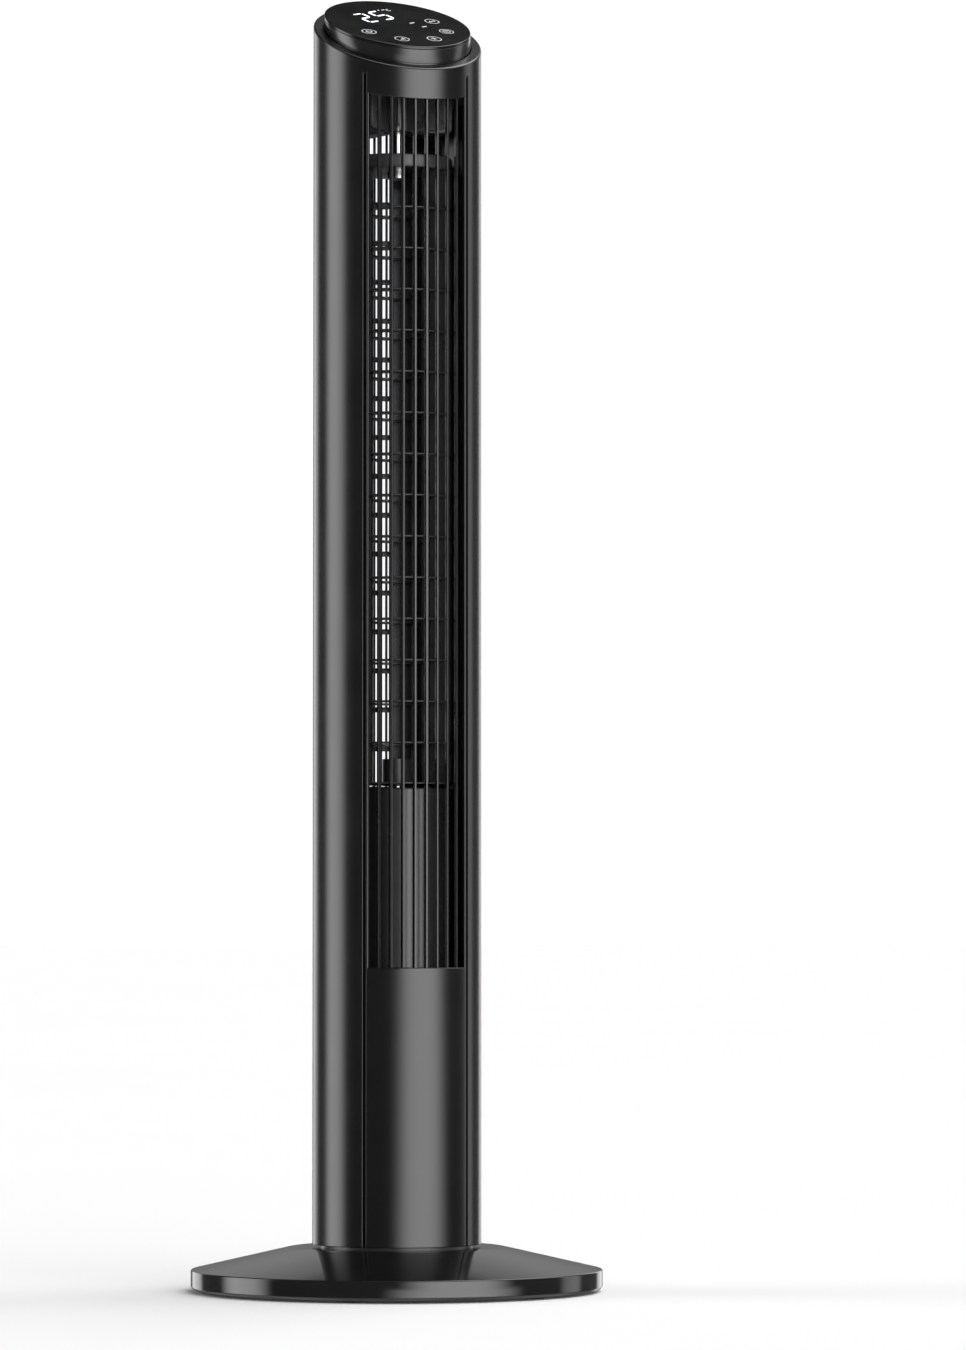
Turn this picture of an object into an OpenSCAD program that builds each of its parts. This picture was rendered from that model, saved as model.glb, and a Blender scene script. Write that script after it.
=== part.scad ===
// Tower fan on a round base. Front is -Y, up is +Z, millimetres.
// The origin is on the floor, on the fan's own axis.
// The base stands still, the column swings on it, and the blower rotor spins inside the column.

/* [Base] */
// Diameter of the round base
base_d = 336; // [320:1:350]
// Height of the base's upright rim above the floor
base_rim_h = 17.8; // [17.6:0.1:19]
// Height of the flat top of the base above the floor
base_top_h = 36.4; // [36.2:0.1:36.6]
// Height of the rubber feet below the base
foot_h = 2.4; // [2:0.1:2.6]
// Number of rubber feet
feet = 6; // [4:1:8]

/* [Column] */
// Outer diameter of the column
column_d = 138; // [136:1:140]
// Thickness of the column's shells
wall = 2.4; // [2:0.1:2.6]
// Height of the sloping rim where it crosses the fan's axis
rim_z = 1028.1; // [1026:0.1:1034]
// Slope of the rim, up towards the back, in degrees
rim_tilt = 26.95; // [25:0.05:28]
// Angle of each long groove from the front, in degrees
groove_angle = 39.2; // [39:0.1:41]
// Height of the rounded top ends of the grooves
groove_top = 990.4; // [985:0.1:992]

/* [Grilles] */
// Half the angle of the front outlet, in degrees
outlet_angle = 36.4; // [34:0.1:36.6]
// Height of the bottom of the front outlet
outlet_bottom = 264; // [262:1:268]
// Height of the sloping top of the front outlet at the fan's axis
outlet_top = 993.8; // [988:0.1:995]
// Slope of the top of the front outlet, in degrees
outlet_tilt = 20.55; // [19:0.05:22]
// Number of upright fins in the front outlet
fins = 8; // [6:1:10]
// Depth of each fin from front to back
fin_depth = 6; // [4.5:0.5:11]
// Half the angle of the rear intake, in degrees
intake_angle = 49; // [46:1:50]
// Number of upright bars in the rear intake
intake_bars = 21; // [15:1:23]
// Number of level ribs in the rear intake
intake_ribs = 16; // [12:1:18]

/* [Control panel] */
// Height of the panel's face at the fan's axis
panel_z = 1039.6; // [1039:0.05:1041]
// Slope of the panel's face, in degrees
panel_tilt = 24.46; // [24:0.01:25]
// Diameter of the panel
panel_d = 120.4; // [120:0.1:120.6]
// Number of touch keys on the panel
touch_keys = 5; // [3:1:5]
// Radius of the arc that the touch keys lie on
touch_arc_r = 38; // [36:0.5:39]
// How far the panel's graphics are turned on its face, in degrees
graphics_turn = 31.5; // [0:0.5:45]

/* [Blower] */
// Outer diameter of the blower rotor
rotor_d = 90; // [86:1:91]
// Number of blades round the rotor
blades = 26; // [20:1:30]
// Number of blade sections along the rotor
sections = 15; // [10:1:16]
// Length of one blade section
section_h = 33.6; // [33:0.1:33.8]

/* [Swivel drive] */
// Teeth on the fixed ring gear
gear_teeth = 45; // [45:1:45]
// Teeth on the drive pinion
pinion_teeth = 15; // [15:1:15]
// Module of both gears
gear_module = 1.5; // [1.5:0.1:1.5]

/* [Hidden] */

$fn = 96;
e = 0.01;
black = [0.09, 0.09, 0.10];
grey = [0.20, 0.20, 0.21];
steel = [0.66, 0.67, 0.69];
green = [0.05, 0.28, 0.14];
white = [0.86, 0.86, 0.84];

// Base
base_r = base_d / 2;
base_wall = 2.4;
pan_z = foot_h;
pan_t = 2;
pan_top = pan_z + pan_t;
pan_r = base_r - base_wall - 0.2;
cone_top_r = 88.5;
edge = 1.1;
cone_slope = (base_top_h - 0.2 - base_rim_h) / (base_r - edge - cone_top_r);
foot_circle = base_r - 18;
screw_circle = 120;
well_r = 34;
well_z = base_top_h - 3.5;
post_bore = 9;
post_screw_circle = 24;
gland_z = 9.8;
gland_r = 4.2;
slide_r = 62;

// Fasteners: bores that screws cut into, and holes that they pass through
pilot_r = 1.4;
clear_r = 1.7;

// Column
column_r = column_d / 2;
inner_r = column_r - wall;
column_z = 38.4;
floor_t = 3;
floor_top = column_z + floor_t;
post_r = 14;
running_gap = 0.05;
gear_z = 52;
gear_h = 6;
gear_r = gear_module * gear_teeth / 2;
pinion_r = gear_module * pinion_teeth / 2;
gear_centres = gear_r + pinion_r;
backlash = 0.24;
pinion_top = 59.6;
gear_screw_r = 1.1;
gear_screw_circle = 11.6;
swivel_plate_z = 60;
swivel_plate_t = 1.6;
swivel_motor_r = 17;
swivel_post_x = 24;
swivel_post_y = 48;
swivel_post_r = 3.5;
swivel_screw_r = 1.3;
pinion_shaft_r = 2.5;
floor_screw_r = 62.3;
boss_r = 4.7;
floor_screw_angles = [45, 135, 225, 315];
shell_screw_x = 63;
shell_boss_depth = 14;
shell_seat_y = 12;
shell_screw_zs = [92, 250, 600, 1000];
lip_t = 2.4;
lip_bore_r = panel_d / 2 + 0.4;
groove_w = 2.8;
groove_depth = 1.3;

// Rotor
rotor_r = rotor_d / 2;
rotor_z = 413;
disc_t = 1.4;
sections_top = rotor_z + sections * section_h;
cap_h = 10;
rotor_top = sections_top + cap_h;
blade_chord = 9;
blade_start = 9.8;
blade_t = 0.9;
blade_bend_r = 11;
blade_bend_y = -9;
shaft_r = 4;

// Motor
drum_r = 46;
drum_z = 260;
drum_top = rotor_z - 3;
motor_r = 36;
motor_z = 335;
motor_top = 395;
motor_screw_r = 1.3;
motor_screw_circle = 26;
air_gap = 0.4;
stator_bore = 22;
stator_z = motor_z + 12;
stator_h = 36;

// Air duct
duct_z = drum_z + 4;
duct_top = 963;
duct_t = 1.8;
duct_end_angle = 41.5;
duct_end_r = 62.4;
vortex_angle = 104;
volute_angle = 168;

// Upper bearing
bracket_z = 976;
bracket_t = 3;
bracket_low = 949;
bush_r = 8;
bush_h = 12;
bracket_front_r = column_r - fin_depth - 1.4;
vane_r = 45;
vane_t = 2;
cushion_r = 12;
hub_r = 16;
bracket_screw_r = 62.3;
bracket_screw_angles = [28, 152, 208, 332];

// Intake
intake_z = 412;
intake_top = 962;
rib_h = 4.4;
bar_w = 2;
grille_t = 1.9;
grille_lap = 12;
grille_screw_angle = 30;
grille_screw_zs = [intake_z - 7, intake_top + 7];

// Outlet
fin_t = 1.6;
outlet_lap = 8;

// Carry handle
grip_w = 76;
grip_h = 30;
grip_z = 992;
grip_depth = 24;
grip_corner = 6;
grip_y = 68 - grip_depth;

// Panel
panel_r = panel_d / 2;
lens_t = 2.2;
tray_depth = 9;
tray_wall = 2;
board_drop = 9;
display_x = -1;
display_y = 30.5;

// Power board
board_y = 20;
board_t = 1.6;
board_w = 84;
board_z = 112;
board_h = 110;
board_hole_x = 36;
board_screw_r = 1.2;
harness_r = 2.2;
harness_x = -50;
harness_y = 36;
board_hole_zs = [board_z + 8, board_z + board_h - 8];

// ---- helpers -------------------------------------------------------------

// Everything below a plane that crosses the axis at height z and rises towards +Y by tilt degrees
module below(z, tilt) {
    translate([0, 0, z]) rotate([tilt, 0, 0]) translate([-300, -3000, -3000]) cube([600, 6000, 3000]);
}

// A vertical wedge of the given half angle about the -Y direction, from z0 to z1
module front_wedge(half, z0, z1, r = 200) {
    translate([0, 0, z0]) linear_extrude(z1 - z0)
        polygon([[0, 0], [-r * sin(half), -r * cos(half)], [0, -2 * r], [r * sin(half), -r * cos(half)]]);
}

module rear_wedge(half, z0, z1, r = 200) {
    mirror([0, 1, 0]) front_wedge(half, z0, z1, r);
}

module ring(r_out, r_in, z, h) {
    translate([0, 0, z]) difference() {
        cylinder(r = r_out, h = h);
        translate([0, 0, -1]) cylinder(r = r_in, h = h + 2);
    }
}

// Copies of the children round the axis
module around(count, r, start = 0) {
    for (i = [0:count - 1]) rotate([0, 0, start + i * 360 / count]) translate([r, 0, 0]) children();
}

module at_angles(angles, r) {
    for (a = angles) rotate([0, 0, a]) translate([r, 0, 0]) children();
}

// A pan head screw along +Z: the head lies below z = 0 and the shank above it
module screw(r, length, head_r, head_h) {
    union() {
        translate([0, 0, -head_h]) cylinder(r = head_r, h = head_h);
        translate([0, 0, -head_h / 2]) cylinder(r = r, h = length + head_h / 2);
    }
}

// Places its children at a point on the column's wall, with +Z pointing along +Y
module along_y(x, y, z) {
    translate([x, y, z]) rotate([-90, 0, 0]) children();
}

// Outline of an involute spur gear with a tooth on +X
function involute(rb, t) = [rb * (cos(t) + t * PI / 180 * sin(t)), rb * (sin(t) - t * PI / 180 * cos(t))];
function turned(p, a) = [p[0] * cos(a) - p[1] * sin(a), p[0] * sin(a) + p[1] * cos(a)];
function roll(rb, r) = sqrt(max(0, pow(r / rb, 2) - 1)) * 180 / PI;
function half_tooth(pitch_r, teeth) = 90 / teeth - backlash / 4 / pitch_r * 180 / PI;
function flank(pitch_r, rb, r0, ra, teeth, n) = [
    for (i = [0:n])
        let (r = r0 + (ra - r0) * i / n, t = roll(rb, r), tp = roll(rb, pitch_r))
        let (on_pitch = involute(rb, tp))
        let (shift = -atan2(on_pitch[1], on_pitch[0]) - half_tooth(pitch_r, teeth))
        turned(involute(rb, t), shift)
];
function gear_outline(pitch_r, teeth, addendum, dedendum) =
    let (rb = pitch_r * cos(20), ra = pitch_r + addendum, rr = pitch_r - dedendum)
    let (low = flank(pitch_r, rb, max(rb, rr), ra, teeth, 5))
    let (root_a = atan2(low[0][1], low[0][0]), root = [rr * cos(root_a), rr * sin(root_a)])
    let (lower = concat([root], low))
    let (upper = [for (i = [len(lower) - 1:-1:0]) [lower[i][0], -lower[i][1]]])
    [for (k = [0:teeth - 1]) for (p = concat(lower, upper)) turned(p, k * 360 / teeth)];

// ---- base ----------------------------------------------------------------

module base_cover() {
    under = base_wall / cos(atan(cone_slope));
    inner_rim_r = base_r - base_wall;
    color(black) difference() {
        union() {
            rotate_extrude($fn = 180) polygon([
                [inner_rim_r, pan_z], [base_r - 1.6, pan_z], [base_r, pan_z + 2], [base_r, base_rim_h - edge],
                [base_r - edge, base_rim_h], [cone_top_r, base_top_h - 0.2], [cone_top_r - 1.5, base_top_h],
                [well_r, base_top_h], [well_r, well_z], [post_bore, well_z], [post_bore, well_z - 2.5],
                [well_r + 2.4, well_z - 2.5], [well_r + 2.4, base_top_h - base_wall],
                [cone_top_r - 1.5, base_top_h - base_wall],
                [inner_rim_r, base_rim_h - under + cone_slope * (base_wall - edge)]
            ]);
            around(6, screw_circle, 30) translate([0, 0, pan_top]) cylinder(r = 4, h = 22.4);
            around(4, post_screw_circle, 45) translate([0, 0, 16]) cylinder(r = 4, h = well_z - 17);
        }
        around(6, screw_circle, 30) translate([0, 0, pan_top - 1]) cylinder(r = pilot_r, h = 15);
        around(4, post_screw_circle, 45) translate([0, 0, 18]) cylinder(r = pilot_r, h = 20);
        along_y(0, base_r - 12, gland_z) cylinder(r = gland_r, h = 20);
    }
}

module base_pan() {
    color(grey) difference() {
        translate([0, 0, pan_z]) cylinder(r = pan_r, h = pan_t, $fn = 180);
        around(6, screw_circle, 30) translate([0, 0, pan_z - 1]) cylinder(r = clear_r, h = pan_t + 2);
        around(feet, foot_circle) translate([0, 0, pan_z - 1]) cylinder(r = 3.6, h = pan_t + 2);
    }
}

module ballast_ring() {
    color(steel) difference() {
        ring(foot_circle - 7, 58, pan_top, 4);
        around(6, screw_circle, 30) translate([0, 0, pan_top - 1]) cylinder(r = 4.6, h = 6);
    }
}

module rubber_feet() {
    color(grey) around(feet, foot_circle) rotate_extrude() polygon([
        [0, 0], [8.2, 0], [9, 0.8], [9, pan_z], [3.6, pan_z], [3.6, pan_top], [4.4, pan_top],
        [3.6, pan_top + 1.2], [0, pan_top + 1.2]
    ]);
}

module base_screws() {
    color(steel) around(6, screw_circle, 30) translate([0, 0, pan_z]) screw(pilot_r, 15, 3.2, 1.4);
}

// A short open bush in the rim at the back, where a mains lead would enter
module cable_gland() {
    color(grey) along_y(0, base_r - 7, gland_z) difference() {
        union() {
            cylinder(r = gland_r, h = 6.6);
            cylinder(r = gland_r + 1, h = 4.2);
        }
        translate([0, 0, -1]) cylinder(r = 2.9, h = 10);
    }
}

module slide_ring() {
    color(black) ring(slide_r, slide_r - 12, base_top_h, column_z - running_gap - base_top_h);
}

module pivot_post() {
    color(grey) difference() {
        union() {
            translate([0, 0, well_z]) cylinder(r = well_r - 1.5, h = base_top_h - well_z);
            translate([0, 0, well_z]) cylinder(r = post_r, h = gear_z - well_z);
        }
        translate([0, 0, well_z - 1]) cylinder(r = post_bore, h = 40);
        around(4, post_screw_circle, 45) translate([0, 0, well_z - 1]) cylinder(r = clear_r, h = 10);
        around(4, post_screw_circle, 45) translate([0, 0, base_top_h - 1.8]) cylinder(r = 3.4, h = 10);
        around(3, gear_screw_circle) translate([0, 0, gear_z - 10]) cylinder(r = gear_screw_r, h = 20);
    }
}

module post_screws() {
    color(steel) around(4, post_screw_circle, 45) translate([0, 0, base_top_h - 1.8]) rotate([180, 0, 0])
        screw(pilot_r, 12, 3.2, 1.6);
}

module fixed_gear() {
    color(white) difference() {
        translate([0, 0, gear_z]) rotate([0, 0, 90]) linear_extrude(gear_h)
            polygon(gear_outline(gear_r, gear_teeth, 1.2, 1.85));
        translate([0, 0, gear_z - 1]) cylinder(r = post_bore, h = gear_h + 2);
        around(3, gear_screw_circle) translate([0, 0, gear_z - 1])
            cylinder(r = gear_screw_r + 0.3, h = gear_h + 2);
        around(12, 25) translate([0, 0, gear_z - 1]) cylinder(r = 4, h = gear_h + 2);
    }
}

module gear_screws() {
    color(steel) around(3, gear_screw_circle) translate([0, 0, gear_z + gear_h]) rotate([180, 0, 0])
        screw(gear_screw_r, 14, 2.2, 1.4);
}

// ---- column: floor and swivel drive --------------------------------------

// Children are placed on the two posts that carry the swivel motor, at height z
module swivel_posts(z) {
    for (s = [-1, 1]) translate([s * swivel_post_x, swivel_post_y, z]) children();
}

module column_base() {
    color(black) difference() {
        union() {
            translate([0, 0, column_z]) cylinder(r = inner_r - 0.2, h = floor_t);
            translate([0, 0, column_z]) cylinder(r = 20, h = gear_z - 0.3 - column_z);
            for (a = [0:45:315]) rotate([0, 0, a + 22.5]) translate([18, -1, column_z]) cube([44, 2, 8]);
        }
        translate([0, 0, column_z - 1]) cylinder(r = post_r + running_gap, h = 40);
        at_angles(floor_screw_angles, floor_screw_r) translate([0, 0, column_z - 1]) union() {
            cylinder(r = clear_r, h = 10);
            cylinder(r = 3.3, h = 2.4);
        }
        swivel_posts(column_z - 1) cylinder(r = swivel_screw_r, h = 10);
        swivel_posts(floor_top) cylinder(r = swivel_post_r + 0.3, h = 10);
    }
}

module column_base_screws() {
    color(steel) at_angles(floor_screw_angles, floor_screw_r) translate([0, 0, column_z + 1.4])
        screw(pilot_r, 14, 3.1, 1.3);
}

module swivel_bracket() {
    color(steel) difference() {
        union() {
            translate([0, gear_centres, swivel_plate_z]) cylinder(r = swivel_motor_r, h = swivel_plate_t);
            translate([-swivel_post_x, swivel_post_y, swivel_plate_z] - swivel_post_r * [1, 1, 0])
                cube([2 * (swivel_post_x + swivel_post_r), 2 * swivel_post_r, swivel_plate_t]);
            swivel_posts(floor_top) cylinder(r = swivel_post_r, h = swivel_plate_z - floor_top + e);
        }
        translate([0, gear_centres, swivel_plate_z - 1]) cylinder(r = 4.6, h = 4);
        swivel_posts(floor_top - 1) cylinder(r = swivel_screw_r, h = 30);
    }
}

module swivel_screws() {
    color(steel) swivel_posts(swivel_plate_z + swivel_plate_t) rotate([180, 0, 0])
        screw(swivel_screw_r, 22.5, 3, 1.6);
}

module swivel_motor() {
    color(steel) translate([0, gear_centres, 0]) difference() {
        union() {
            translate([0, 0, swivel_plate_z + swivel_plate_t]) cylinder(r = swivel_motor_r, h = 19);
            translate([0, 0, swivel_plate_z]) cylinder(r = 4.5, h = 2);
            translate([-8, 8, 64]) cube([16, 11.5, 14]);
        }
        translate([0, 0, swivel_plate_z - 1]) cylinder(r = pinion_shaft_r + running_gap, h = 9);
    }
}

module drive_pinion() {
    color(white) translate([0, gear_centres, gear_z]) difference() {
        rotate([0, 0, -90 + 180 / pinion_teeth]) linear_extrude(pinion_top - gear_z)
            polygon(gear_outline(pinion_r, pinion_teeth, 1.5, 1.7));
        translate([0, 0, -1]) cylinder(r = pinion_shaft_r, h = 12);
    }
}

module pinion_shaft() {
    color(steel) translate([0, gear_centres, gear_z - 1]) cylinder(r = pinion_shaft_r, h = 16.5);
}

// ---- column: shells ------------------------------------------------------

// The whole tube with its sloping lip, before it is split into front and rear halves
module tube() {
    difference() {
        intersection() {
            translate([0, 0, column_z]) cylinder(r = column_r, h = 1100, $fn = 180);
            below(rim_z, rim_tilt);
        }
        intersection() {
            cylinder(r = inner_r, h = 1200, $fn = 180);
            below(rim_z - lip_t / cos(rim_tilt), rim_tilt);
        }
        translate([0, 0, rim_z - 80]) cylinder(r = lip_bore_r, h = 200, $fn = 180);
    }
}

// The shelf below the lip that holds the panel tray's flange
module tray_shelf() {
    difference() {
        intersection() {
            translate([0, 0, rim_z - 80]) cylinder(r = inner_r + 0.5, h = 160);
            below(rim_z - (lip_t + 2.2) / cos(rim_tilt), rim_tilt);
        }
        below(rim_z - (lip_t + 4) / cos(rim_tilt), rim_tilt);
        translate([0, 0, rim_z - 90]) cylinder(r = 62.6, h = 200);
    }
}

module outlet_opening() {
    difference() {
        intersection() {
            front_wedge(outlet_angle, outlet_bottom, 1100);
            below(outlet_top, outlet_tilt);
        }
        translate([0, 0, outlet_bottom - 1]) cylinder(r = 50, h = 900);
    }
}

module groove(side) {
    rotate([0, 0, side * groove_angle]) translate([0, -column_r, 0]) union() {
        translate([-groove_w / 2, -5, column_z - 1]) cube([groove_w, 5 + groove_depth, groove_top - column_z]);
        translate([0, groove_depth, groove_top - 1]) rotate([90, 0, 0]) cylinder(r = groove_w / 2, h = 10);
    }
}

module front_shell() {
    color(black) difference() {
        union() {
            intersection() {
                union() {
                    tube();
                    tray_shelf();
                }
                translate([-100, -200, 0]) cube([200, 200, 1200]);
            }
            for (s = [-1, 1], z = shell_screw_zs) along_y(s * shell_screw_x, -shell_boss_depth, z)
                cylinder(r = 4, h = shell_boss_depth);
            at_angles([225, 315], floor_screw_r) translate([0, 0, floor_top]) cylinder(r = boss_r, h = 20);
            at_angles([208, 332], bracket_screw_r) translate([0, 0, bracket_z - 12])
                cylinder(r = boss_r, h = 12);
        }
        outlet_opening();
        groove(-1);
        groove(1);
        for (s = [-1, 1], z = shell_screw_zs) along_y(s * shell_screw_x, -11, z) cylinder(r = pilot_r, h = 20);
        at_angles([225, 315], floor_screw_r) translate([0, 0, floor_top - 1]) cylinder(r = pilot_r, h = 18);
        at_angles([208, 332], bracket_screw_r) translate([0, 0, bracket_z - 11]) cylinder(r = pilot_r, h = 20);
    }
}

module front_grille() {
    pitch = 2 * outlet_angle / (fins + 1);
    color(black) union() {
        intersection() {
            for (i = [0:fins - 1]) {
                a = (i - (fins - 1) / 2) * pitch;
                translate([column_r * sin(a) - fin_t / 2, -column_r * cos(a) - 1, outlet_bottom - outlet_lap])
                    cube([fin_t, fin_depth + 1, 800]);
            }
            union() {
                intersection() {
                    translate([0, 0, outlet_bottom - outlet_lap]) cylinder(r = inner_r - 0.1, h = 900);
                    below(outlet_top + outlet_lap, outlet_tilt);
                }
                intersection() {
                    translate([0, 0, outlet_bottom]) cylinder(r = column_r - 0.4, h = 900);
                    front_wedge(outlet_angle - 0.5, outlet_bottom, 1100);
                    below(outlet_top, outlet_tilt);
                }
            }
        }
        intersection() {
            ring(inner_r - 0.1, inner_r - 3, outlet_bottom - outlet_lap, outlet_lap);
            front_wedge(outlet_angle + 2, 0, 1100);
        }
        intersection() {
            ring(inner_r - 0.1, inner_r - 3, 900, 120);
            front_wedge(outlet_angle + 2, 0, 1100);
            difference() {
                below(outlet_top + outlet_lap, outlet_tilt);
                below(outlet_top, outlet_tilt);
            }
        }
    }
}

module rear_boss(x, z) {
    along_y(x, 0, z) cylinder(r = 4, h = sqrt(column_r * column_r - x * x) - 2);
}

module intake_opening(grow = 0) {
    difference() {
        rear_wedge(intake_angle + grow, intake_z - grow, intake_top + grow);
        translate([0, 0, intake_z - 20]) cylinder(r = 60, h = 700);
    }
}

// The hand grip's hollow with rounded corners, from its back wall outwards
module grip_space(grow) {
    x = grip_w / 2 - grip_corner;
    z = grip_h / 2 - grip_corner;
    r = grip_corner + grow;
    translate([0, grip_y - grow, grip_z + grip_h / 2]) union() {
        translate([-x - r, 0, -z]) cube([2 * (x + r), 60, 2 * z]);
        translate([-x, 0, -z - r]) cube([2 * x, 60, 2 * (z + r)]);
        for (i = [-1, 1], k = [-1, 1]) translate([i * x, 0, k * z]) rotate([-90, 0, 0]) cylinder(r = r, h = 60);
    }
}

module rear_shell() {
    color(black) difference() {
        union() {
            intersection() {
                union() {
                    tube();
                    tray_shelf();
                }
                translate([-100, 0, 0]) cube([200, 200, 1200]);
            }
            intersection() {
                union() {
                    for (s = [-1, 1], z = shell_screw_zs) rear_boss(s * shell_screw_x, z);
                    for (s = [-1, 1], z = board_hole_zs) along_y(s * board_hole_x, board_y + board_t, z)
                        cylinder(r = 3.2, h = 40);
                }
                cylinder(r = column_r - 0.5, h = 1100);
            }
            at_angles([45, 135], floor_screw_r) translate([0, 0, floor_top]) cylinder(r = boss_r, h = 20);
            at_angles([28, 152], bracket_screw_r) translate([0, 0, bracket_z - 12])
                cylinder(r = boss_r, h = 12);
        }
        intake_opening();
        grip_space(2);
        for (s = [-1, 1], z = shell_screw_zs) along_y(s * shell_screw_x, -1, z) cylinder(r = clear_r, h = 60);
        for (s = [-1, 1], z = shell_screw_zs) along_y(s * shell_screw_x, shell_seat_y, z)
            cylinder(r = 3.3, h = 60);
        for (s = [-1, 1], z = board_hole_zs) along_y(s * board_hole_x, board_y, z)
            cylinder(r = board_screw_r, h = 14);
        at_angles([45, 135], floor_screw_r) translate([0, 0, floor_top - 1]) cylinder(r = pilot_r, h = 18);
        at_angles([28, 152], bracket_screw_r) translate([0, 0, bracket_z - 11]) cylinder(r = pilot_r, h = 20);
        for (s = [-1, 1], z = grille_screw_zs) grille_screw_place(s, z) cylinder(r = 1.3, h = 20);
    }
}

// Children are placed behind a corner of the rear grille, with +Z pointing outwards
module grille_screw_place(s, z) {
    rotate([0, 0, s * grille_screw_angle]) along_y(0, inner_r - 4, z) children();
}

// Upright bars in front of level ribs, in a flanged frame behind the shell
module rear_grille() {
    frame = 3;
    rib_pitch = (intake_top - intake_z) / (intake_ribs + 1);
    color(black) difference() {
        union() {
            intersection() {
                ring(inner_r - 0.1, inner_r - grille_t, intake_z - grille_lap,
                     intake_top - intake_z + 2 * grille_lap);
                difference() {
                    rear_wedge(intake_angle + frame, intake_z - grille_lap, intake_top + grille_lap);
                    rear_wedge(intake_angle - 0.5, intake_z + 1, intake_top - 1, 150);
                }
            }
            intersection() {
                ring(inner_r - 0.1, inner_r - grille_t, intake_z - 5, intake_top - intake_z + 10);
                rear_wedge(intake_angle + 1, 0, 1100);
                for (i = [1:intake_ribs]) translate([-80, 0, intake_z + i * rib_pitch - rib_h / 2])
                    cube([160, 90, rib_h]);
            }
            intersection() {
                ring(column_r - 0.3, inner_r - 0.6, intake_z, intake_top - intake_z);
                rear_wedge(intake_angle - 0.4, 0, 1100);
                for (i = [0:intake_bars - 1])
                    rotate([0, 0, (i - (intake_bars - 1) / 2) * 2 * intake_angle / (intake_bars + 1)])
                        translate([-bar_w / 2, 55, intake_z]) cube([bar_w, 20, intake_top - intake_z]);
            }
        }
        for (s = [-1, 1], z = grille_screw_zs) grille_screw_place(s, z) cylinder(r = 1.1, h = 20);
    }
}

module rear_grille_screws() {
    color(steel) for (s = [-1, 1], z = grille_screw_zs) grille_screw_place(s, z)
        translate([0, 0, wall + 4]) rotate([180, 0, 0]) screw(1.1, 7.5, 2.4, 0.8);
}

module shell_screws() {
    color(steel) for (s = [-1, 1], z = shell_screw_zs) along_y(s * shell_screw_x, shell_seat_y, z)
        rotate([180, 0, 0]) screw(pilot_r, 20, 3, 2);
}

module carry_handle() {
    color(black) intersection() {
        difference() {
            grip_space(2);
            grip_space(0);
        }
        cylinder(r = column_r - 0.6, h = 1100, $fn = 180);
    }
}

// ---- column: air duct ----------------------------------------------------

// Point of a wall's outline at an angle from the front, where side 1 is the +X side
function duct_point(r, a, side) = [side * r * sin(a), -r * cos(a)];

// A sheet round the rotor from angle a0, where its inner radius is r0, to the ends that both ducts share;
// power sets how late along the sheet its radius grows
module curved_sheet(side, a0, r0, power, steps = 14) {
    along = [for (i = [0:steps]) [a0 + (duct_end_angle - a0) * i / steps,
                                  r0 + (duct_end_r - r0) * pow(i / steps, power)]];
    inner = [for (p = along) duct_point(p[1], p[0], side)];
    outer = [for (i = [steps:-1:0]) duct_point(along[i][1] + duct_t, along[i][0], side)];
    translate([0, 0, duct_z]) linear_extrude(duct_top - duct_z) polygon(concat(inner, outer));
}

module vortex_wall() {
    color(black) curved_sheet(-1, vortex_angle, rotor_r + 3, 1.4);
}

module volute_wall() {
    color(black) curved_sheet(1, volute_angle, rotor_r + 2, 1.6);
}

// ---- column: blower motor ------------------------------------------------

module motor_drum() {
    color(black) difference() {
        union() {
            translate([0, 0, drum_z]) cylinder(r = drum_r, h = drum_top - drum_z);
            intersection() {
                translate([0, 0, drum_z]) cylinder(r = inner_r - 0.3, h = 3);
                translate([-65, -46, drum_z]) cube([130, 92, 3]);
            }
        }
        translate([0, 0, drum_z - 1]) cylinder(r = drum_r - 2, h = drum_top - drum_z - 2);
        translate([0, 0, drum_z]) cylinder(r = 14, h = 200);
        around(3, motor_screw_circle, 90) translate([0, 0, drum_top - 10]) cylinder(r = clear_r, h = 20);
        translate([harness_x, harness_y, drum_z - 1]) cylinder(r = 3, h = 5);
    }
}

module motor_can() {
    color(steel) difference() {
        union() {
            translate([0, 0, motor_z]) cylinder(r = motor_r, h = motor_top - motor_z);
            translate([0, 0, motor_z - 6]) cylinder(r = 10, h = 8);
            translate([0, 0, motor_top - 2]) cylinder(r = 10, h = 8);
        }
        translate([0, 0, motor_z + 2]) cylinder(r = motor_r - 2, h = motor_top - motor_z - 4);
        translate([0, 0, motor_z - 10]) cylinder(r = 7, h = 100);
        around(3, motor_screw_circle, 90) translate([0, 0, motor_top - 6]) cylinder(r = motor_screw_r, h = 10);
    }
}

module motor_bearings() {
    color("goldenrod") for (z = [motor_z - 6, motor_top - 4]) ring(7, shaft_r + running_gap, z, 10);
}

module motor_stator() {
    color([0.55, 0.30, 0.16]) difference() {
        translate([0, 0, stator_z]) cylinder(r = motor_r - 2, h = stator_h);
        translate([0, 0, motor_z]) cylinder(r = stator_bore, h = 60);
        around(8, 28, 22.5) translate([0, 0, motor_z]) cylinder(r = 3, h = 60);
    }
}

module motor_mounts() {
    color(grey) around(3, motor_screw_circle, 90) ring(5, clear_r, motor_top, drum_top - 3 - motor_top);
}

module motor_screws() {
    color(steel) around(3, motor_screw_circle, 90) translate([0, 0, drum_top]) rotate([180, 0, 0])
        screw(motor_screw_r, 18, 2.8, 1.4);
}

// ---- column: upper bearing -----------------------------------------------

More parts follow.
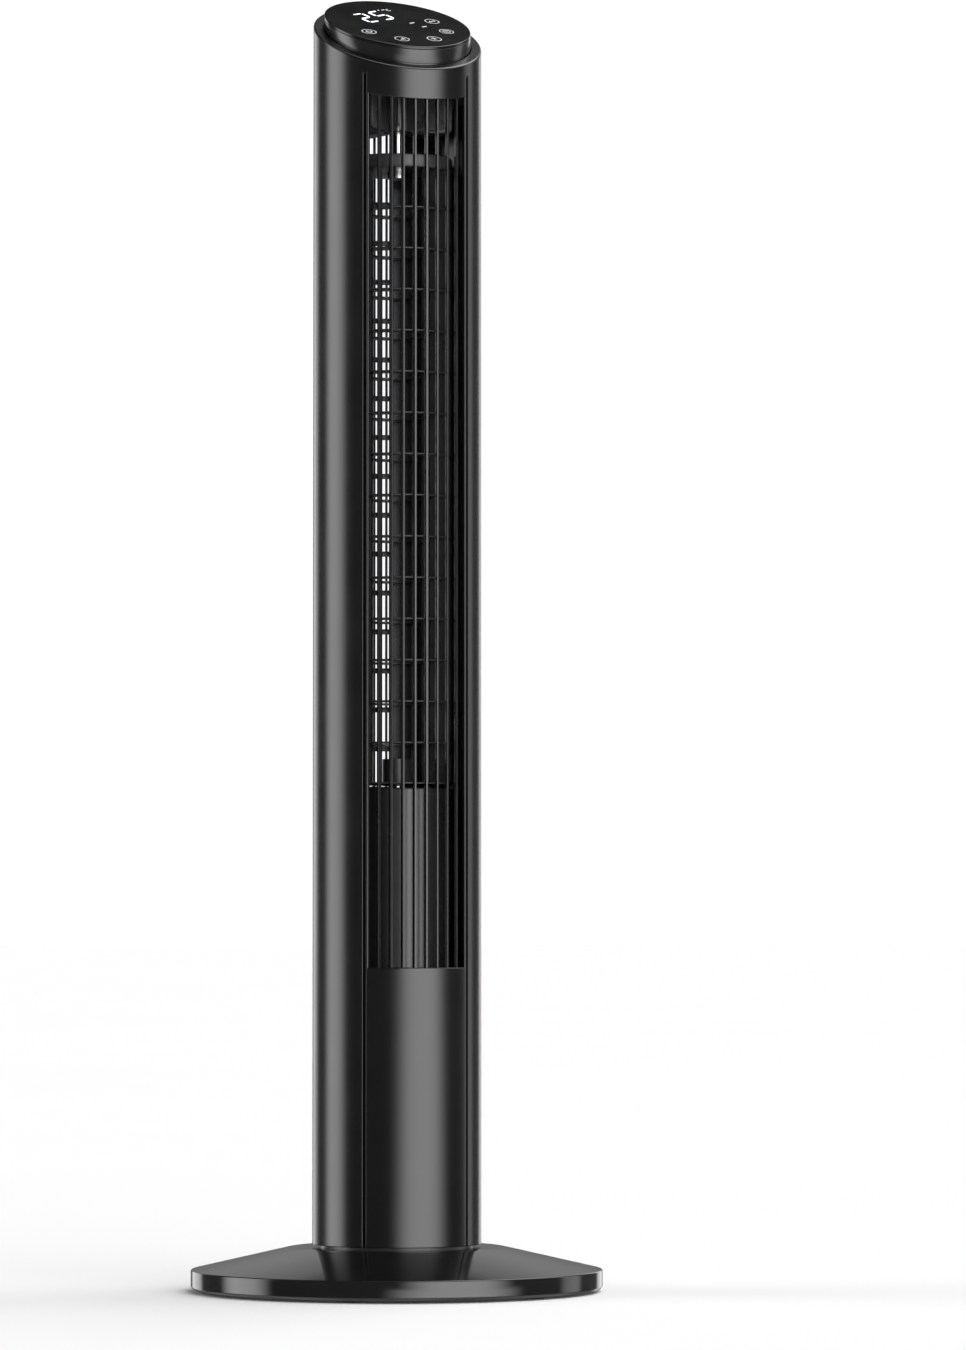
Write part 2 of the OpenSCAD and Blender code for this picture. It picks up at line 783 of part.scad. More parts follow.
module upper_bracket() {
    color(black) difference() {
        union() {
            difference() {
                translate([0, 0, bracket_z]) cylinder(r = inner_r - 0.3, h = bracket_t);
                around(6, 40, 30) translate([0, 0, bracket_z - 1]) cylinder(r = 11, h = 10);
                difference() {
                    front_wedge(outlet_angle + 3, bracket_z - 1, bracket_z + bracket_t + 1);
                    cylinder(r = bracket_front_r, h = 1200);
                }
            }
            translate([0, 0, bracket_low]) cylinder(r = hub_r, h = bracket_z - bracket_low + e);
            around(12, 0, 15) translate([hub_r - 1, -vane_t / 2, bracket_low])
                cube([vane_r - hub_r + 1, vane_t, bracket_z + 1 - bracket_low]);
        }
        translate([0, 0, bracket_low - 1]) cylinder(r = cushion_r, h = bush_h + 1);
        translate([0, 0, bracket_low - 1]) cylinder(r = 6, h = 40);
        at_angles(bracket_screw_angles, bracket_screw_r) translate([0, 0, bracket_z - 1])
            cylinder(r = clear_r, h = 10);
    }
}

module upper_bush() {
    color("goldenrod") ring(bush_r, shaft_r + running_gap, bracket_low, bush_h);
}

module bush_cushion() {
    color(grey) ring(cushion_r, bush_r, bracket_low, bush_h);
}

module bracket_screws() {
    color(steel) at_angles(bracket_screw_angles, bracket_screw_r) translate([0, 0, bracket_z + bracket_t])
        rotate([180, 0, 0]) screw(pilot_r, 12, 3, 2);
}

// ---- column: control panel -----------------------------------------------

// A slice of an upright cylinder between two sloping planes
module slanted_disc(r, z_low, tilt_low, z_high, tilt_high) {
    difference() {
        intersection() {
            translate([0, 0, 940]) cylinder(r = r, h = 200, $fn = 180);
            below(z_high, tilt_high);
        }
        below(z_low, tilt_low);
    }
}

function drop(distance, tilt) = distance / cos(tilt);

module panel_housing() {
    rim_low = rim_z - drop(tray_depth, rim_tilt);
    color(black) difference() {
        union() {
            slanted_disc(panel_r, rim_low, rim_tilt, panel_z - drop(lens_t, panel_tilt), panel_tilt);
            slanted_disc(64.5, rim_z - drop(lip_t + 2.1, rim_tilt), rim_tilt,
                         rim_z - drop(lip_t + 0.1, rim_tilt), rim_tilt);
        }
        slanted_disc(panel_r - tray_wall, rim_low + drop(tray_wall, rim_tilt), rim_tilt, panel_z, panel_tilt);
    }
}

module control_panel() {
    color([0.04, 0.04, 0.05]) slanted_disc(panel_r, panel_z - drop(lens_t, panel_tilt), panel_tilt,
                                           panel_z, panel_tilt);
}

// Children are placed on the panel's face: +X right, +Y up the slope, z = 0 on the face
module on_panel() {
    translate([0, 0, panel_z]) rotate([panel_tilt, 0, 0]) children();
}

// Children are placed in the turned frame of the panel's graphics, centred on the arc of touch keys
module on_graphics() {
    on_panel() translate([0.5, -8.4, 0]) rotate([0, 0, graphics_turn]) children();
}

module display_module() {
    depth = board_drop - lens_t - 0.2;
    color(white) on_graphics() translate([display_x - 20, display_y - 15, -board_drop]) cube([40, 30, depth]);
}

module control_board() {
    color(green) intersection() {
        on_panel() translate([0, 0, -board_drop - 1.6]) cylinder(r = 56, h = 1.6);
        translate([0, 0, 940]) cylinder(r = 55, h = 200);
    }
}

module touch_pads() {
    color(grey) on_graphics() for (i = [0:touch_keys - 1]) rotate([0, 0, 180 + i * 180 / (touch_keys - 1)])
        translate([touch_arc_r, 0, -board_drop]) cylinder(r = 5, h = board_drop - lens_t);
}

module ir_receiver() {
    color([0.12, 0.04, 0.05]) on_graphics() translate([-3, -8, -board_drop]) cube([6, 5, 5]);
}

// ---- column: electronics -------------------------------------------------

module power_board() {
    color(green) difference() {
        translate([-board_w / 2, board_y, board_z]) cube([board_w, board_t, board_h]);
        for (s = [-1, 1], z = board_hole_zs) along_y(s * board_hole_x, board_y - 1, z)
            cylinder(r = board_screw_r + 0.2, h = 4);
    }
}

module board_parts() {
    part_y = board_y - 22;
    color([0.75, 0.72, 0.30]) union() {
        translate([-26, part_y, board_z + 14]) cube([28, 22, 24]);
        along_y(20, part_y + 2, board_z + 24) cylinder(r = 8, h = 20);
        along_y(20, part_y + 6, board_z + 46) cylinder(r = 6, h = 16);
        translate([-28, part_y + 8, board_z + 52]) cube([18, 14, 16]);
        translate([-4, part_y + 12, board_z + 60]) cube([30, 10, 8]);
        translate([-30, part_y + 12, board_z + 80]) cube([60, 10, 7]);
    }
}

module board_screws() {
    color(steel) for (s = [-1, 1], z = board_hole_zs) along_y(s * board_hole_x, board_y, z)
        screw(board_screw_r, 13, 2.8, 1.6);
}

// The lead bundle that climbs beside the rear intake from the power board to the control panel
module wire_harness() {
    x = harness_x;
    y = harness_y;
    low = board_z + board_h - 20;
    high = bracket_z - 8;
    color([0.12, 0.12, 0.13]) union() {
        translate([x, y, low]) cylinder(r = harness_r, h = high - low, $fn = 24);
        translate([x, y, low]) sphere(r = harness_r, $fn = 24);
        translate([x, y, high]) sphere(r = harness_r, $fn = 24);
        translate([x, y, low]) rotate([0, 90, 0]) cylinder(r = harness_r, h = 14, $fn = 24);
        translate([x, y, high]) rotate([0, 90, 0]) cylinder(r = harness_r, h = 8, $fn = 24);
    }
}

// ---- rotor ---------------------------------------------------------------

module blade_outline() {
    mid = rotor_r - blade_chord / 2 - 0.6;
    translate([mid, 0]) intersection() {
        translate([0, blade_bend_y]) difference() {
            circle(r = blade_bend_r + blade_t / 2, $fn = 64);
            circle(r = blade_bend_r - blade_t / 2, $fn = 64);
        }
        translate([-blade_chord / 2, -8]) square([blade_chord, 14]);
    }
}

module blower_rotor() {
    color(grey) union() {
        translate([0, 0, rotor_z]) linear_extrude(sections * section_h)
            for (i = [0:blades - 1]) rotate(blade_start + i * 360 / blades) blade_outline();
        for (k = [0:sections]) difference() {
            translate([0, 0, rotor_z + k * section_h - (k > 0 ? disc_t / 2 : 0)])
                cylinder(r = rotor_r, h = disc_t);
            translate([0, 0, rotor_z - 5]) cylinder(r = k == 0 ? 12 : (k == sections ? 9 : 28), h = 600);
        }
        difference() {
            translate([0, 0, sections_top]) cylinder(r = rotor_r, h = cap_h);
            translate([0, 0, sections_top - 1]) cylinder(r = rotor_r - 2, h = cap_h - 1);
            translate([0, 0, sections_top]) cylinder(r = 9, h = 20);
        }
    }
}

module rotor_hub() {
    color(grey) ring(12, shaft_r, rotor_z - 1, 22);
}

module motor_shaft() {
    color(steel) translate([0, 0, motor_z - 8]) cylinder(r = shaft_r, h = rotor_z + 18 - motor_z + 8);
}

module motor_rotor() {
    color(steel) ring(stator_bore - air_gap, shaft_r, stator_z, stator_h);
}

module top_pin() {
    color(steel) union() {
        translate([0, 0, sections_top - 6]) cylinder(r = 9, h = cap_h + 7);
        translate([0, 0, sections_top]) cylinder(r = shaft_r, h = bracket_low + 10 - sections_top);
    }
}

base_cover();
base_pan();
ballast_ring();
rubber_feet();
base_screws();
cable_gland();
slide_ring();
pivot_post();
post_screws();
fixed_gear();
gear_screws();
column_base();
column_base_screws();
front_shell();
front_grille();
rear_shell();
rear_grille();
rear_grille_screws();
shell_screws();
carry_handle();
vortex_wall();
volute_wall();
motor_drum();
motor_can();
motor_stator();
motor_bearings();
motor_mounts();
motor_screws();
upper_bracket();
upper_bush();
bush_cushion();
bracket_screws();
panel_housing();
control_panel();
display_module();
control_board();
touch_pads();
ir_receiver();
power_board();
board_parts();
board_screws();
swivel_motor();
swivel_bracket();
swivel_screws();
wire_harness();
blower_rotor();
rotor_hub();
motor_shaft();
motor_rotor();
top_pin();
drive_pinion();
pinion_shaft();
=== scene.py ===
"""The looks of a tower fan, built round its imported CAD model.

All sizes are in millimetres. Shape collects a mesh in millimetres and make() turns it into metres.
Front is -Y and up is +Z, and angles run from the front (-Y) towards +X unless a comment says otherwise.
"""

import math

import bmesh
import bpy
from mathutils import Matrix, Vector


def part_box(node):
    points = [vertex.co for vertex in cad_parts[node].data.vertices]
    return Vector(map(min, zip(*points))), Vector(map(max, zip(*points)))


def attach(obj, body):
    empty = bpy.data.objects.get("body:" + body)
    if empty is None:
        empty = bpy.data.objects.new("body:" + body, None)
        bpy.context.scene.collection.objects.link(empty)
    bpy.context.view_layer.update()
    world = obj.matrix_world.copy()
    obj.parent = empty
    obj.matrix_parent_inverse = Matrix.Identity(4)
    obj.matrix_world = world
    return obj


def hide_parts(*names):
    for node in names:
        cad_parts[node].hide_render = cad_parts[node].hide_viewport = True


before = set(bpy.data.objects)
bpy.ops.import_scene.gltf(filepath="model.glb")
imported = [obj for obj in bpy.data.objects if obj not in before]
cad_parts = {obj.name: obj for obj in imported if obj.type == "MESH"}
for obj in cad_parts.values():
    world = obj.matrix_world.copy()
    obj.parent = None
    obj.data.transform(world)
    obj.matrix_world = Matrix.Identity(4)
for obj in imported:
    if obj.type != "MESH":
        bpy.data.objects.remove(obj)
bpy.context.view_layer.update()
MM = 0.001


def low(node):
    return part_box(node)[0] / MM


def high(node):
    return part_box(node)[1] / MM


# ---- sizes, in millimetres -------------------------------------------------

BASE_R = high("base_cover").x
PLATEAU_Z = high("base_cover").z
PAN_Z = low("base_pan").z
PAN_TOP = high("base_pan").z
RIM_H = 17.8
PLATEAU_R = 87
PLATEAU_FILLET = 32
BASE_WALL = 2.4
RECESS_R = 34
RECESS_DEPTH = 3.5
POST_BORE = 9
GLAND_Z = (low("cable_gland").z + high("cable_gland").z) / 2
FEET = 6
FOOT_CIRCLE = BASE_R - 18
BASE_SCREWS = 6
BASE_SCREW_CIRCLE = 120
SCREW_HOLE_R = 1.7

COLUMN_R = high("front_shell").x
COLUMN_Z = low("front_shell").z
WALL = 2.4
INNER_R = COLUMN_R - WALL
RIM_Z = high("front_shell").z
RIM_SLOPE = (high("rear_shell").z - RIM_Z) / COLUMN_R
LIP = WALL * math.hypot(1, RIM_SLOPE)
PANEL_R = high("control_panel").x
LIP_BORE = PANEL_R + 0.4
GROOVE_ANGLE = 39.2
GROOVE_HALF = 1.4
GROOVE_DEPTH = 1.3
GROOVE_TOP = 990.8
SHELL_SCREWS = [(x, z) for x in (-63, 63) for z in (92, 250, 600, 1000)]
SCREW_SEAT_Y = 12

OUTLET_HALF = 36.4
OUTLET_Z = 264
OUTLET_TOP = 993.8
OUTLET_SLOPE = math.tan(math.radians(20.55))
FINS = 8
FIN_DEPTH = 6
OUTLET_LAP = 8
TUCK = 0.15

INTAKE_HALF = 49
INTAKE_LAP = 12
INTAKE_Z = low("rear_grille").z + INTAKE_LAP
INTAKE_TOP = high("rear_grille").z - INTAKE_LAP
INTAKE_BARS = 21
INTAKE_RIBS = 16
RIB_H = 4.4

GRIP_W = 76
GRIP_H = 30
GRIP_CORNER = 6
GRIP_WALL = 2
GRIP_Z = (low("carry_handle").z + high("carry_handle").z) / 2
GRIP_BACK = low("carry_handle").y + GRIP_WALL

ROTOR_R = high("blower_rotor").x
ROTOR_Z = low("blower_rotor").z
ROTOR_TOP = high("blower_rotor").z
BLADES = 26
BLADE_START = 9.8
BLADE_CHORD = 9
BLADE_T = 0.9
BLADE_BEND = 11
SECTIONS = 15
SECTION_H = 33.6

DUCT_T = 1.8
DUCT_END_ANGLE = 41.5
DUCT_END_R = 62.4
VORTEX_ANGLE = 104
VOLUTE_ANGLE = 168

DRUM_R = 46
DRUM_Z = low("motor_drum").z
DRUM_TOP = high("motor_drum").z

BRACKET_T = 3
BRACKET_HOLES = 6
BRACKET_SCREW_ANGLES = (28, 152, 208, 332)
BRACKET_SCREW_CIRCLE = 62.3
VANES = 12
VANE_R = 45

PANEL_TILT = math.radians(24.46)
PANEL_SLOPE = math.tan(PANEL_TILT)
PANEL_Z = high("control_panel").z - PANEL_SLOPE * PANEL_R
LENS_T = 2.2
FLANGE_R = 64.4
GRAPHICS_TURN = math.radians(31.5)
GRAPHICS_CENTRE = (0.5, -8.4)
TOUCH_ARC_R = 38
TOUCH_RING_R = 5.9
DIGIT_W = 10.4
DIGIT_H = 22
DIGIT_Y = 30.7
DIGIT_STROKE = 2.3
DIGIT_LEAN = 0.09
SEGMENT_GAP = 0.55


# ---- mesh tools ------------------------------------------------------------


class Shape:
    """A mesh under construction, in millimetres."""

    def __init__(self):
        self.points = []
        self.faces = []

    def add(self, points, faces, place=None):
        start = len(self.points)
        if place is not None:
            points = [place @ Vector(p) for p in points]
        self.points += [tuple(p) for p in points]
        self.faces += [tuple(start + i for i in f) for f in faces]
        return self


def loft(loops, closed=False, caps=True):
    """Joins loops of equally many points with quads. Closed joins the last loop to the first."""
    n = len(loops[0])
    points = [p for loop in loops for p in loop]
    faces = []
    for k in range(len(loops) if closed else len(loops) - 1):
        a, b = k * n, (k + 1) % len(loops) * n
        faces += [(a + i, a + (i + 1) % n, b + (i + 1) % n, b + i) for i in range(n)]
    if caps and not closed:
        faces.append(tuple(range(n - 1, -1, -1)))
        faces.append(tuple(range(len(points) - n, len(points))))
    return points, faces


def fillet(corners, steps=5):
    """A closed outline from (x, y, radius) corners, with each corner rounded to its radius."""
    out = []
    for i, (x, y, r) in enumerate(corners):
        here = Vector((x, y))
        to_last = Vector(corners[i - 1][:2]) - here
        to_next = Vector(corners[(i + 1) % len(corners)][:2]) - here
        if r <= 0:
            out.append((x, y))
            continue
        half = to_last.angle(to_next) / 2
        cut = min(r / math.tan(half), to_last.length * 0.49, to_next.length * 0.49)
        r = cut * math.tan(half)
        centre = here + (to_last.normalized() + to_next.normalized()).normalized() * r / math.sin(half)
        start = here + to_last.normalized() * cut - centre
        turn = start.angle_signed(here + to_next.normalized() * cut - centre)
        for k in range(steps + 1):
            p = centre + Matrix.Rotation(-turn * k / steps, 2) @ start
            out.append((p.x, p.y))
    return out


def sweep(profile, from_angle=0, to_angle=360, steps=180):
    """Turns an (r, z) or (r, z, slope) outline about the Z axis. A slope lifts the point with its Y."""
    whole = abs(to_angle - from_angle) >= 360
    loops = []
    for k in range(steps if whole else steps + 1):
        a = math.radians(from_angle + (to_angle - from_angle) * k / steps)
        loop = []
        for r, z, *slope in profile:
            x, y = r * math.sin(a), -r * math.cos(a)
            loop.append((x, y, z + (slope[0] * y if slope else 0)))
        loops.append(loop)
    return loft(loops, closed=whole)


def extrude(outline, z0, z1, chamfer=0):
    """An (x, y) outline drawn up from z0 to z1, with its two ends drawn in by a small chamfer."""
    if not chamfer:
        return loft([[(x, y, z) for x, y in outline] for z in (z0, z1)])
    cx = sum(p[0] for p in outline) / len(outline)
    cy = sum(p[1] for p in outline) / len(outline)
    reach = max(math.hypot(x - cx, y - cy) for x, y in outline)
    k = 1 - chamfer / reach
    small = [(cx + (x - cx) * k, cy + (y - cy) * k) for x, y in outline]
    rows = ((small, z0), (outline, z0 + chamfer), (outline, z1 - chamfer), (small, z1))
    return loft([[(x, y, z) for x, y in line] for line, z in rows])


def rounded_block(r0, r1, z0, z1, inner, outer):
    """A rectangle whose corners are rounded by inner at r0 and by outer at r1."""
    return fillet([(r0, z0, inner), (r1, z0, outer), (r1, z1, outer), (r0, z1, inner)])


def circle(r, steps=32, centre=(0, 0)):
    turns = [2 * math.pi * k / steps for k in range(steps)]
    return [(centre[0] + r * math.cos(a), centre[1] + r * math.sin(a)) for a in turns]


def turned(degrees, axis="Z"):
    return Matrix.Rotation(math.radians(degrees), 4, axis)


def moved(x, y, z):
    return Matrix.Translation((x, y, z))


def raw_object(name, shape):
    """A Blender object from a Shape, in metres, with its faces turned outwards."""
    mesh = bpy.data.meshes.new(name)
    mesh.from_pydata([(x * MM, y * MM, z * MM) for x, y, z in shape.points], [], shape.faces)
    obj = bpy.data.objects.new(name, mesh)
    bpy.context.scene.collection.objects.link(obj)
    bm = bmesh.new()
    bm.from_mesh(mesh)
    bmesh.ops.remove_doubles(bm, verts=bm.verts, dist=0.0005 * MM)
    bmesh.ops.recalc_face_normals(bm, faces=bm.faces)
    bm.to_mesh(mesh)
    bm.free()
    return obj


def cut(obj, tool, operation="DIFFERENCE"):
    """Applies an exact boolean with a tool Shape to an object's mesh."""
    cutter = raw_object("cutter", tool)
    modifier = obj.modifiers.new("cut", "BOOLEAN")
    modifier.object = cutter
    modifier.operation = operation
    modifier.solver = "EXACT"
    graph = bpy.context.evaluated_depsgraph_get()
    result = bpy.data.meshes.new_from_object(obj.evaluated_get(graph))
    obj.modifiers.clear()
    old, obj.data = obj.data, result
    bpy.data.meshes.remove(old)
    bpy.data.objects.remove(cutter)


def finish_piece(obj, slot, body, nodes=(), sharp=35, material=None):
    """Shades a piece, gives it its record slot, and fixes it to its CAD body.

    Its material is the slot's own unless another is named. Edges sharper than sharp degrees stay crisp.
    """
    obj.data.shade_smooth()
    obj.data.set_sharp_from_angle(angle=math.radians(sharp))
    obj.data.materials.clear()
    obj.data.materials.append(MATERIALS[material or slot])
    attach(obj, body)
    if nodes:
        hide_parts(*nodes)
    return obj


def skin_normals(obj):
    """Gives the faces on the column's skin the cylinder's own normals, so no streaks lie beside the cuts."""
    mesh = obj.data
    normals = [Vector(corner.vector) for corner in mesh.corner_normals]
    for face in mesh.polygons:
        places = [mesh.vertices[i].co for i in face.vertices]
        if all(abs(math.hypot(p.x, p.y) - COLUMN_R * MM) < 0.03 * MM for p in places):
            for corner, p in zip(face.loop_indices, places):
                normals[corner] = Vector((p.x, p.y, 0)).normalized()
    mesh.normals_split_custom_set(normals)


def make(name, shape, slot, body, nodes=(), sharp=35, material=None):
    return finish_piece(raw_object(name, shape), slot, body, nodes, sharp, material)


def taken_apart(obj):
    """The Shape of a scratch object, which is removed."""
    mesh = obj.data
    shape = Shape().add([v.co / MM for v in mesh.vertices], [tuple(p.vertices) for p in mesh.polygons])
    bpy.data.objects.remove(obj)
    return shape


# ---- materials -------------------------------------------------------------


def plastic(
    name,
    colour,
    roughness,
    grain=0.3,
    grain_depth=0.01,
    swing=0.05,
    shade=0.2,
    metallic=0.0,
    coat=0.0,
    drift=40.0,
    specular=0.5,
):
    """A moulded or metal surface with fine grain, drifting gloss and slightly uneven colour.

    grain is the grain's size and grain_depth its height, and drift the size of the slow changes, in mm.
    """
    material = bpy.data.materials.new(name)
    material.use_nodes = True
    nodes, links = material.node_tree.nodes, material.node_tree.links
    shader = nodes["Principled BSDF"]
    shader.inputs["Metallic"].default_value = metallic
    shader.inputs["Coat Weight"].default_value = coat
    shader.inputs["Coat Roughness"].default_value = 0.08
    shader.inputs["Specular IOR Level"].default_value = specular
    place = nodes.new("ShaderNodeTexCoord")

    slow = nodes.new("ShaderNodeTexNoise")
    slow.inputs["Scale"].default_value = 1 / (drift * MM)
    slow.inputs["Detail"].default_value = 4
    links.new(place.outputs["Object"], slow.inputs["Vector"])

    tint = nodes.new("ShaderNodeValToRGB")
    tint.color_ramp.elements[0].position = 0.3
    tint.color_ramp.elements[1].position = 0.7
    tint.color_ramp.elements[0].color = (*[c * (1 - shade) for c in colour], 1)
    tint.color_ramp.elements[1].color = (*[c * (1 + shade) for c in colour], 1)
    links.new(slow.outputs["Fac"], tint.inputs["Fac"])
    links.new(tint.outputs["Color"], shader.inputs["Base Color"])

    gloss = nodes.new("ShaderNodeMapRange")
    gloss.inputs["From Min"].default_value = 0.3
    gloss.inputs["From Max"].default_value = 0.7
    gloss.inputs["To Min"].default_value = roughness - swing
    gloss.inputs["To Max"].default_value = roughness + swing
    links.new(slow.outputs["Fac"], gloss.inputs["Value"])
    links.new(gloss.outputs["Result"], shader.inputs["Roughness"])

    fine = nodes.new("ShaderNodeTexNoise")
    fine.inputs["Scale"].default_value = 1 / (grain * MM)
    fine.inputs["Detail"].default_value = 3
    links.new(place.outputs["Object"], fine.inputs["Vector"])
    bump = nodes.new("ShaderNodeBump")
    bump.inputs["Distance"].default_value = grain_depth * MM
    links.new(fine.outputs["Fac"], bump.inputs["Height"])
    links.new(bump.outputs["Normal"], shader.inputs["Normal"])
    return material


def glowing(name, colour, strength):
    """A lit printed mark, slightly uneven like a light guide over its lamp."""
    material = plastic(name, colour, 0.35, grain=0.5, grain_depth=0.002)
    nodes, links = material.node_tree.nodes, material.node_tree.links
    shader = nodes["Principled BSDF"]
    shader.inputs["Emission Strength"].default_value = strength
    place = nodes["Texture Coordinate"]
    patch = nodes.new("ShaderNodeTexNoise")
    patch.inputs["Scale"].default_value = 1 / (6 * MM)
    links.new(place.outputs["Object"], patch.inputs["Vector"])
    ramp = nodes.new("ShaderNodeValToRGB")
    ramp.color_ramp.elements[0].color = (*[c * 0.92 for c in colour], 1)
    ramp.color_ramp.elements[1].color = (*colour, 1)
    links.new(patch.outputs["Fac"], ramp.inputs["Fac"])
    links.new(ramp.outputs["Color"], shader.inputs["Emission Color"])
    return material


# Colour, roughness, then grain, grain depth, swing, shade and metallic as plastic() takes them
SURFACES = {
    "base_gloss": ((0.008, 0.008, 0.0083), 0.09, 8, 0.003, 0.02, 0.1),
    "base_underside": ((0.016, 0.016, 0.017), 0.55, 0.5, 0.02),
    "shell_plastic": ((0.0058, 0.0058, 0.0061), 0.22, 0.35, 0.0008, 0.015, 0.12),
    # The next colour is painted shade, laid in the long grooves so they look deep and black
    "groove_painted_shade": ((0.002, 0.002, 0.002), 0.8, 0.5, 0.01),
    "grille_plastic": ((0.012, 0.012, 0.013), 0.25, 0.35, 0.002, 0.03),
    "duct_plastic": ((0.012, 0.012, 0.0125), 0.24, 0.4, 0.001, 0.02),
    # This lighter grey also dresses the upper bracket, where it is painted light on vanes of dark plastic
    "frame_plastic": ((0.09, 0.09, 0.093), 0.3, 0.5, 0.004),
    "rotor_plastic": ((0.04, 0.04, 0.042), 0.3, 0.4, 0.003),
    "panel_rim": ((0.011, 0.011, 0.012), 0.2, 0.4, 0.001, 0.02),
    "panel_face": ((0.006, 0.006, 0.0065), 0.16, 1.5, 0.0005, 0.02),
    "circuit_board": ((0.02, 0.1, 0.045), 0.3, 0.6, 0.01),
    "components": ((0.62, 0.5, 0.1), 0.4, 0.8, 0.01),
    "touch_foam": ((0.06, 0.06, 0.065), 0.9, 0.8, 0.15),
    "ir_window": ((0.05, 0.012, 0.015), 0.1, 2, 0.002),
    "wire_jacket": ((0.03, 0.03, 0.03), 0.5, 0.6, 0.02),
    "acetal": ((0.78, 0.77, 0.73), 0.35, 0.6, 0.006, 0.05, 0.04),
    "foot_rubber": ((0.022, 0.022, 0.022), 0.75, 0.35, 0.05),
    "plated_steel": ((0.62, 0.62, 0.64), 0.32, 0.5, 0.008, 0.08, 0.1, 1.0),
    "black_screws": ((0.03, 0.03, 0.032), 0.4, 0.3, 0.01, 0.08, 0.2, 0.6),
    "motor_steel": ((0.45, 0.46, 0.48), 0.35, 0.6, 0.01, 0.08, 0.1, 1.0),
    "shaft_steel": ((0.6, 0.6, 0.62), 0.2, 0.25, 0.004, 0.05, 0.05, 1.0),
    "copper_winding": ((0.45, 0.18, 0.07), 0.38, 0.4, 0.05, 0.08, 0.25, 0.7),
    "bronze": ((0.6, 0.42, 0.2), 0.4, 0.2, 0.01, 0.08, 0.1, 1.0),
}
# Less reflection for the grooves' painted shade, and for the panel face
DULLER = {"groove_painted_shade": 0.1, "panel_face": 0.36}
MATERIALS = {name: plastic(name, *looks, specular=DULLER.get(name, 0.5)) for name, looks in SURFACES.items()}
MATERIALS["led_white"] = glowing("led_white", (0.95, 0.98, 1.0), 1.0)
MATERIALS["mark_print"] = glowing("mark_print", (0.75, 0.77, 0.78), 0.45)


# ---- base ------------------------------------------------------------------


def build_base():
    cover = Shape()
    recess_z = PLATEAU_Z - RECESS_DEPTH
    inner = BASE_R - BASE_WALL
    outline = fillet(
        [
            (inner, PAN_Z, 0),
            (BASE_R - 1.6, PAN_Z, 0.5),
            (BASE_R, PAN_Z + 2.0, 1.2),
            (BASE_R, RIM_H, 1.3),
            (PLATEAU_R, PLATEAU_Z, PLATEAU_FILLET),
            (RECESS_R, PLATEAU_Z, 0.5),
            (RECESS_R, recess_z, 0),
            (POST_BORE, recess_z, 0),
            (POST_BORE, recess_z - 2.5, 0),
            (RECESS_R + BASE_WALL, recess_z - 2.5, 0),
            (RECESS_R + BASE_WALL, PLATEAU_Z - BASE_WALL, 0),
            (PLATEAU_R - 1, PLATEAU_Z - BASE_WALL, 0),
            (inner, RIM_H - 2.1, 0),
        ],
        7,
    )
    cover.add(*sweep(outline, steps=288))
    obj = raw_object("base_cover_skin", cover)
    along_back = turned(-90, "X")
    hole = Shape().add(*extrude(circle(4.25, 48), 0, 20), moved(0, BASE_R - 12, GLAND_Z) @ along_back)
    cut(obj, hole)
    finish_piece(obj, "base_gloss", "base", ["base_cover"])

    gland = Shape()
    flange = [(2.9, 0.1, 0.2), (4.9, 0.1, 0.2), (4.9, 4.1, 0.2)]
    outline = fillet(flange + [(4.15, 4.1, 0), (4.15, 6.5, 0.6), (2.9, 6.5, 0.9)])
    gland.add(*sweep(outline, steps=64), moved(0, BASE_R - 7, GLAND_Z) @ along_back)
    make("inlet_bush", gland, "foot_rubber", "base", ["cable_gland"])

    feet = Shape()
    outline = [(0, 0.5, 0), (5.6, 0.5, 0), (6.1, 0, 0.3), (8.2, 0, 0.4), (9, 0.8, 0.4)]
    outline = fillet(outline + [(9, PAN_Z, 0), (0, PAN_Z, 0)])
    for k in range(FEET):
        feet.add(*sweep(outline, steps=48), turned(360 / FEET * k + 90) @ moved(0, -FOOT_CIRCLE, 0))
    make("feet_moulded", feet, "foot_rubber", "base", ["rubber_feet"])

    pan = Shape()
    rim = BASE_R - 2.65
    outline = fillet(
        [
            (0, PAN_Z, 0),
            (52, PAN_Z, 0),
            (52.6, PAN_Z + 0.5, 0),
            (97.4, PAN_Z + 0.5, 0),
            (98, PAN_Z, 0),
            (rim, PAN_Z, 0.5),
            (rim, PAN_TOP, 0),
            (0, PAN_TOP, 0),
        ]
    )
    pan.add(*sweep(outline, steps=180))
    obj = raw_object("base_pan_moulded", pan)
    holes = Shape()
    for k in range(BASE_SCREWS):
        place = turned(30 + 360 / BASE_SCREWS * k) @ moved(BASE_SCREW_CIRCLE, 0, 0)
        holes.add(*extrude(circle(SCREW_HOLE_R, 24), PAN_Z - 1, PAN_TOP + 1), place)
    cut(obj, holes)
    finish_piece(obj, "base_underside", "base", ["base_pan"])


# ---- column shells ---------------------------------------------------------


def eased(distance, radius):
    """How far a rounded edge of this radius falls back at a distance from the edge."""
    if distance >= radius:
        return 0.0
    return radius - math.sqrt(radius**2 - (radius - max(distance, 0)) ** 2)


EDGE_STEPS = (0, 0.06, 0.2, 0.42, 0.7, 1.0, 1.4)
WINDOW_EDGE = 1.0
GROOVE_EDGE = 0.6
SEAM_EDGE = 0.35
BOTTOM_EDGE = 0.45
RIM_EDGE = 1.3
BORE_EDGE = 0.5


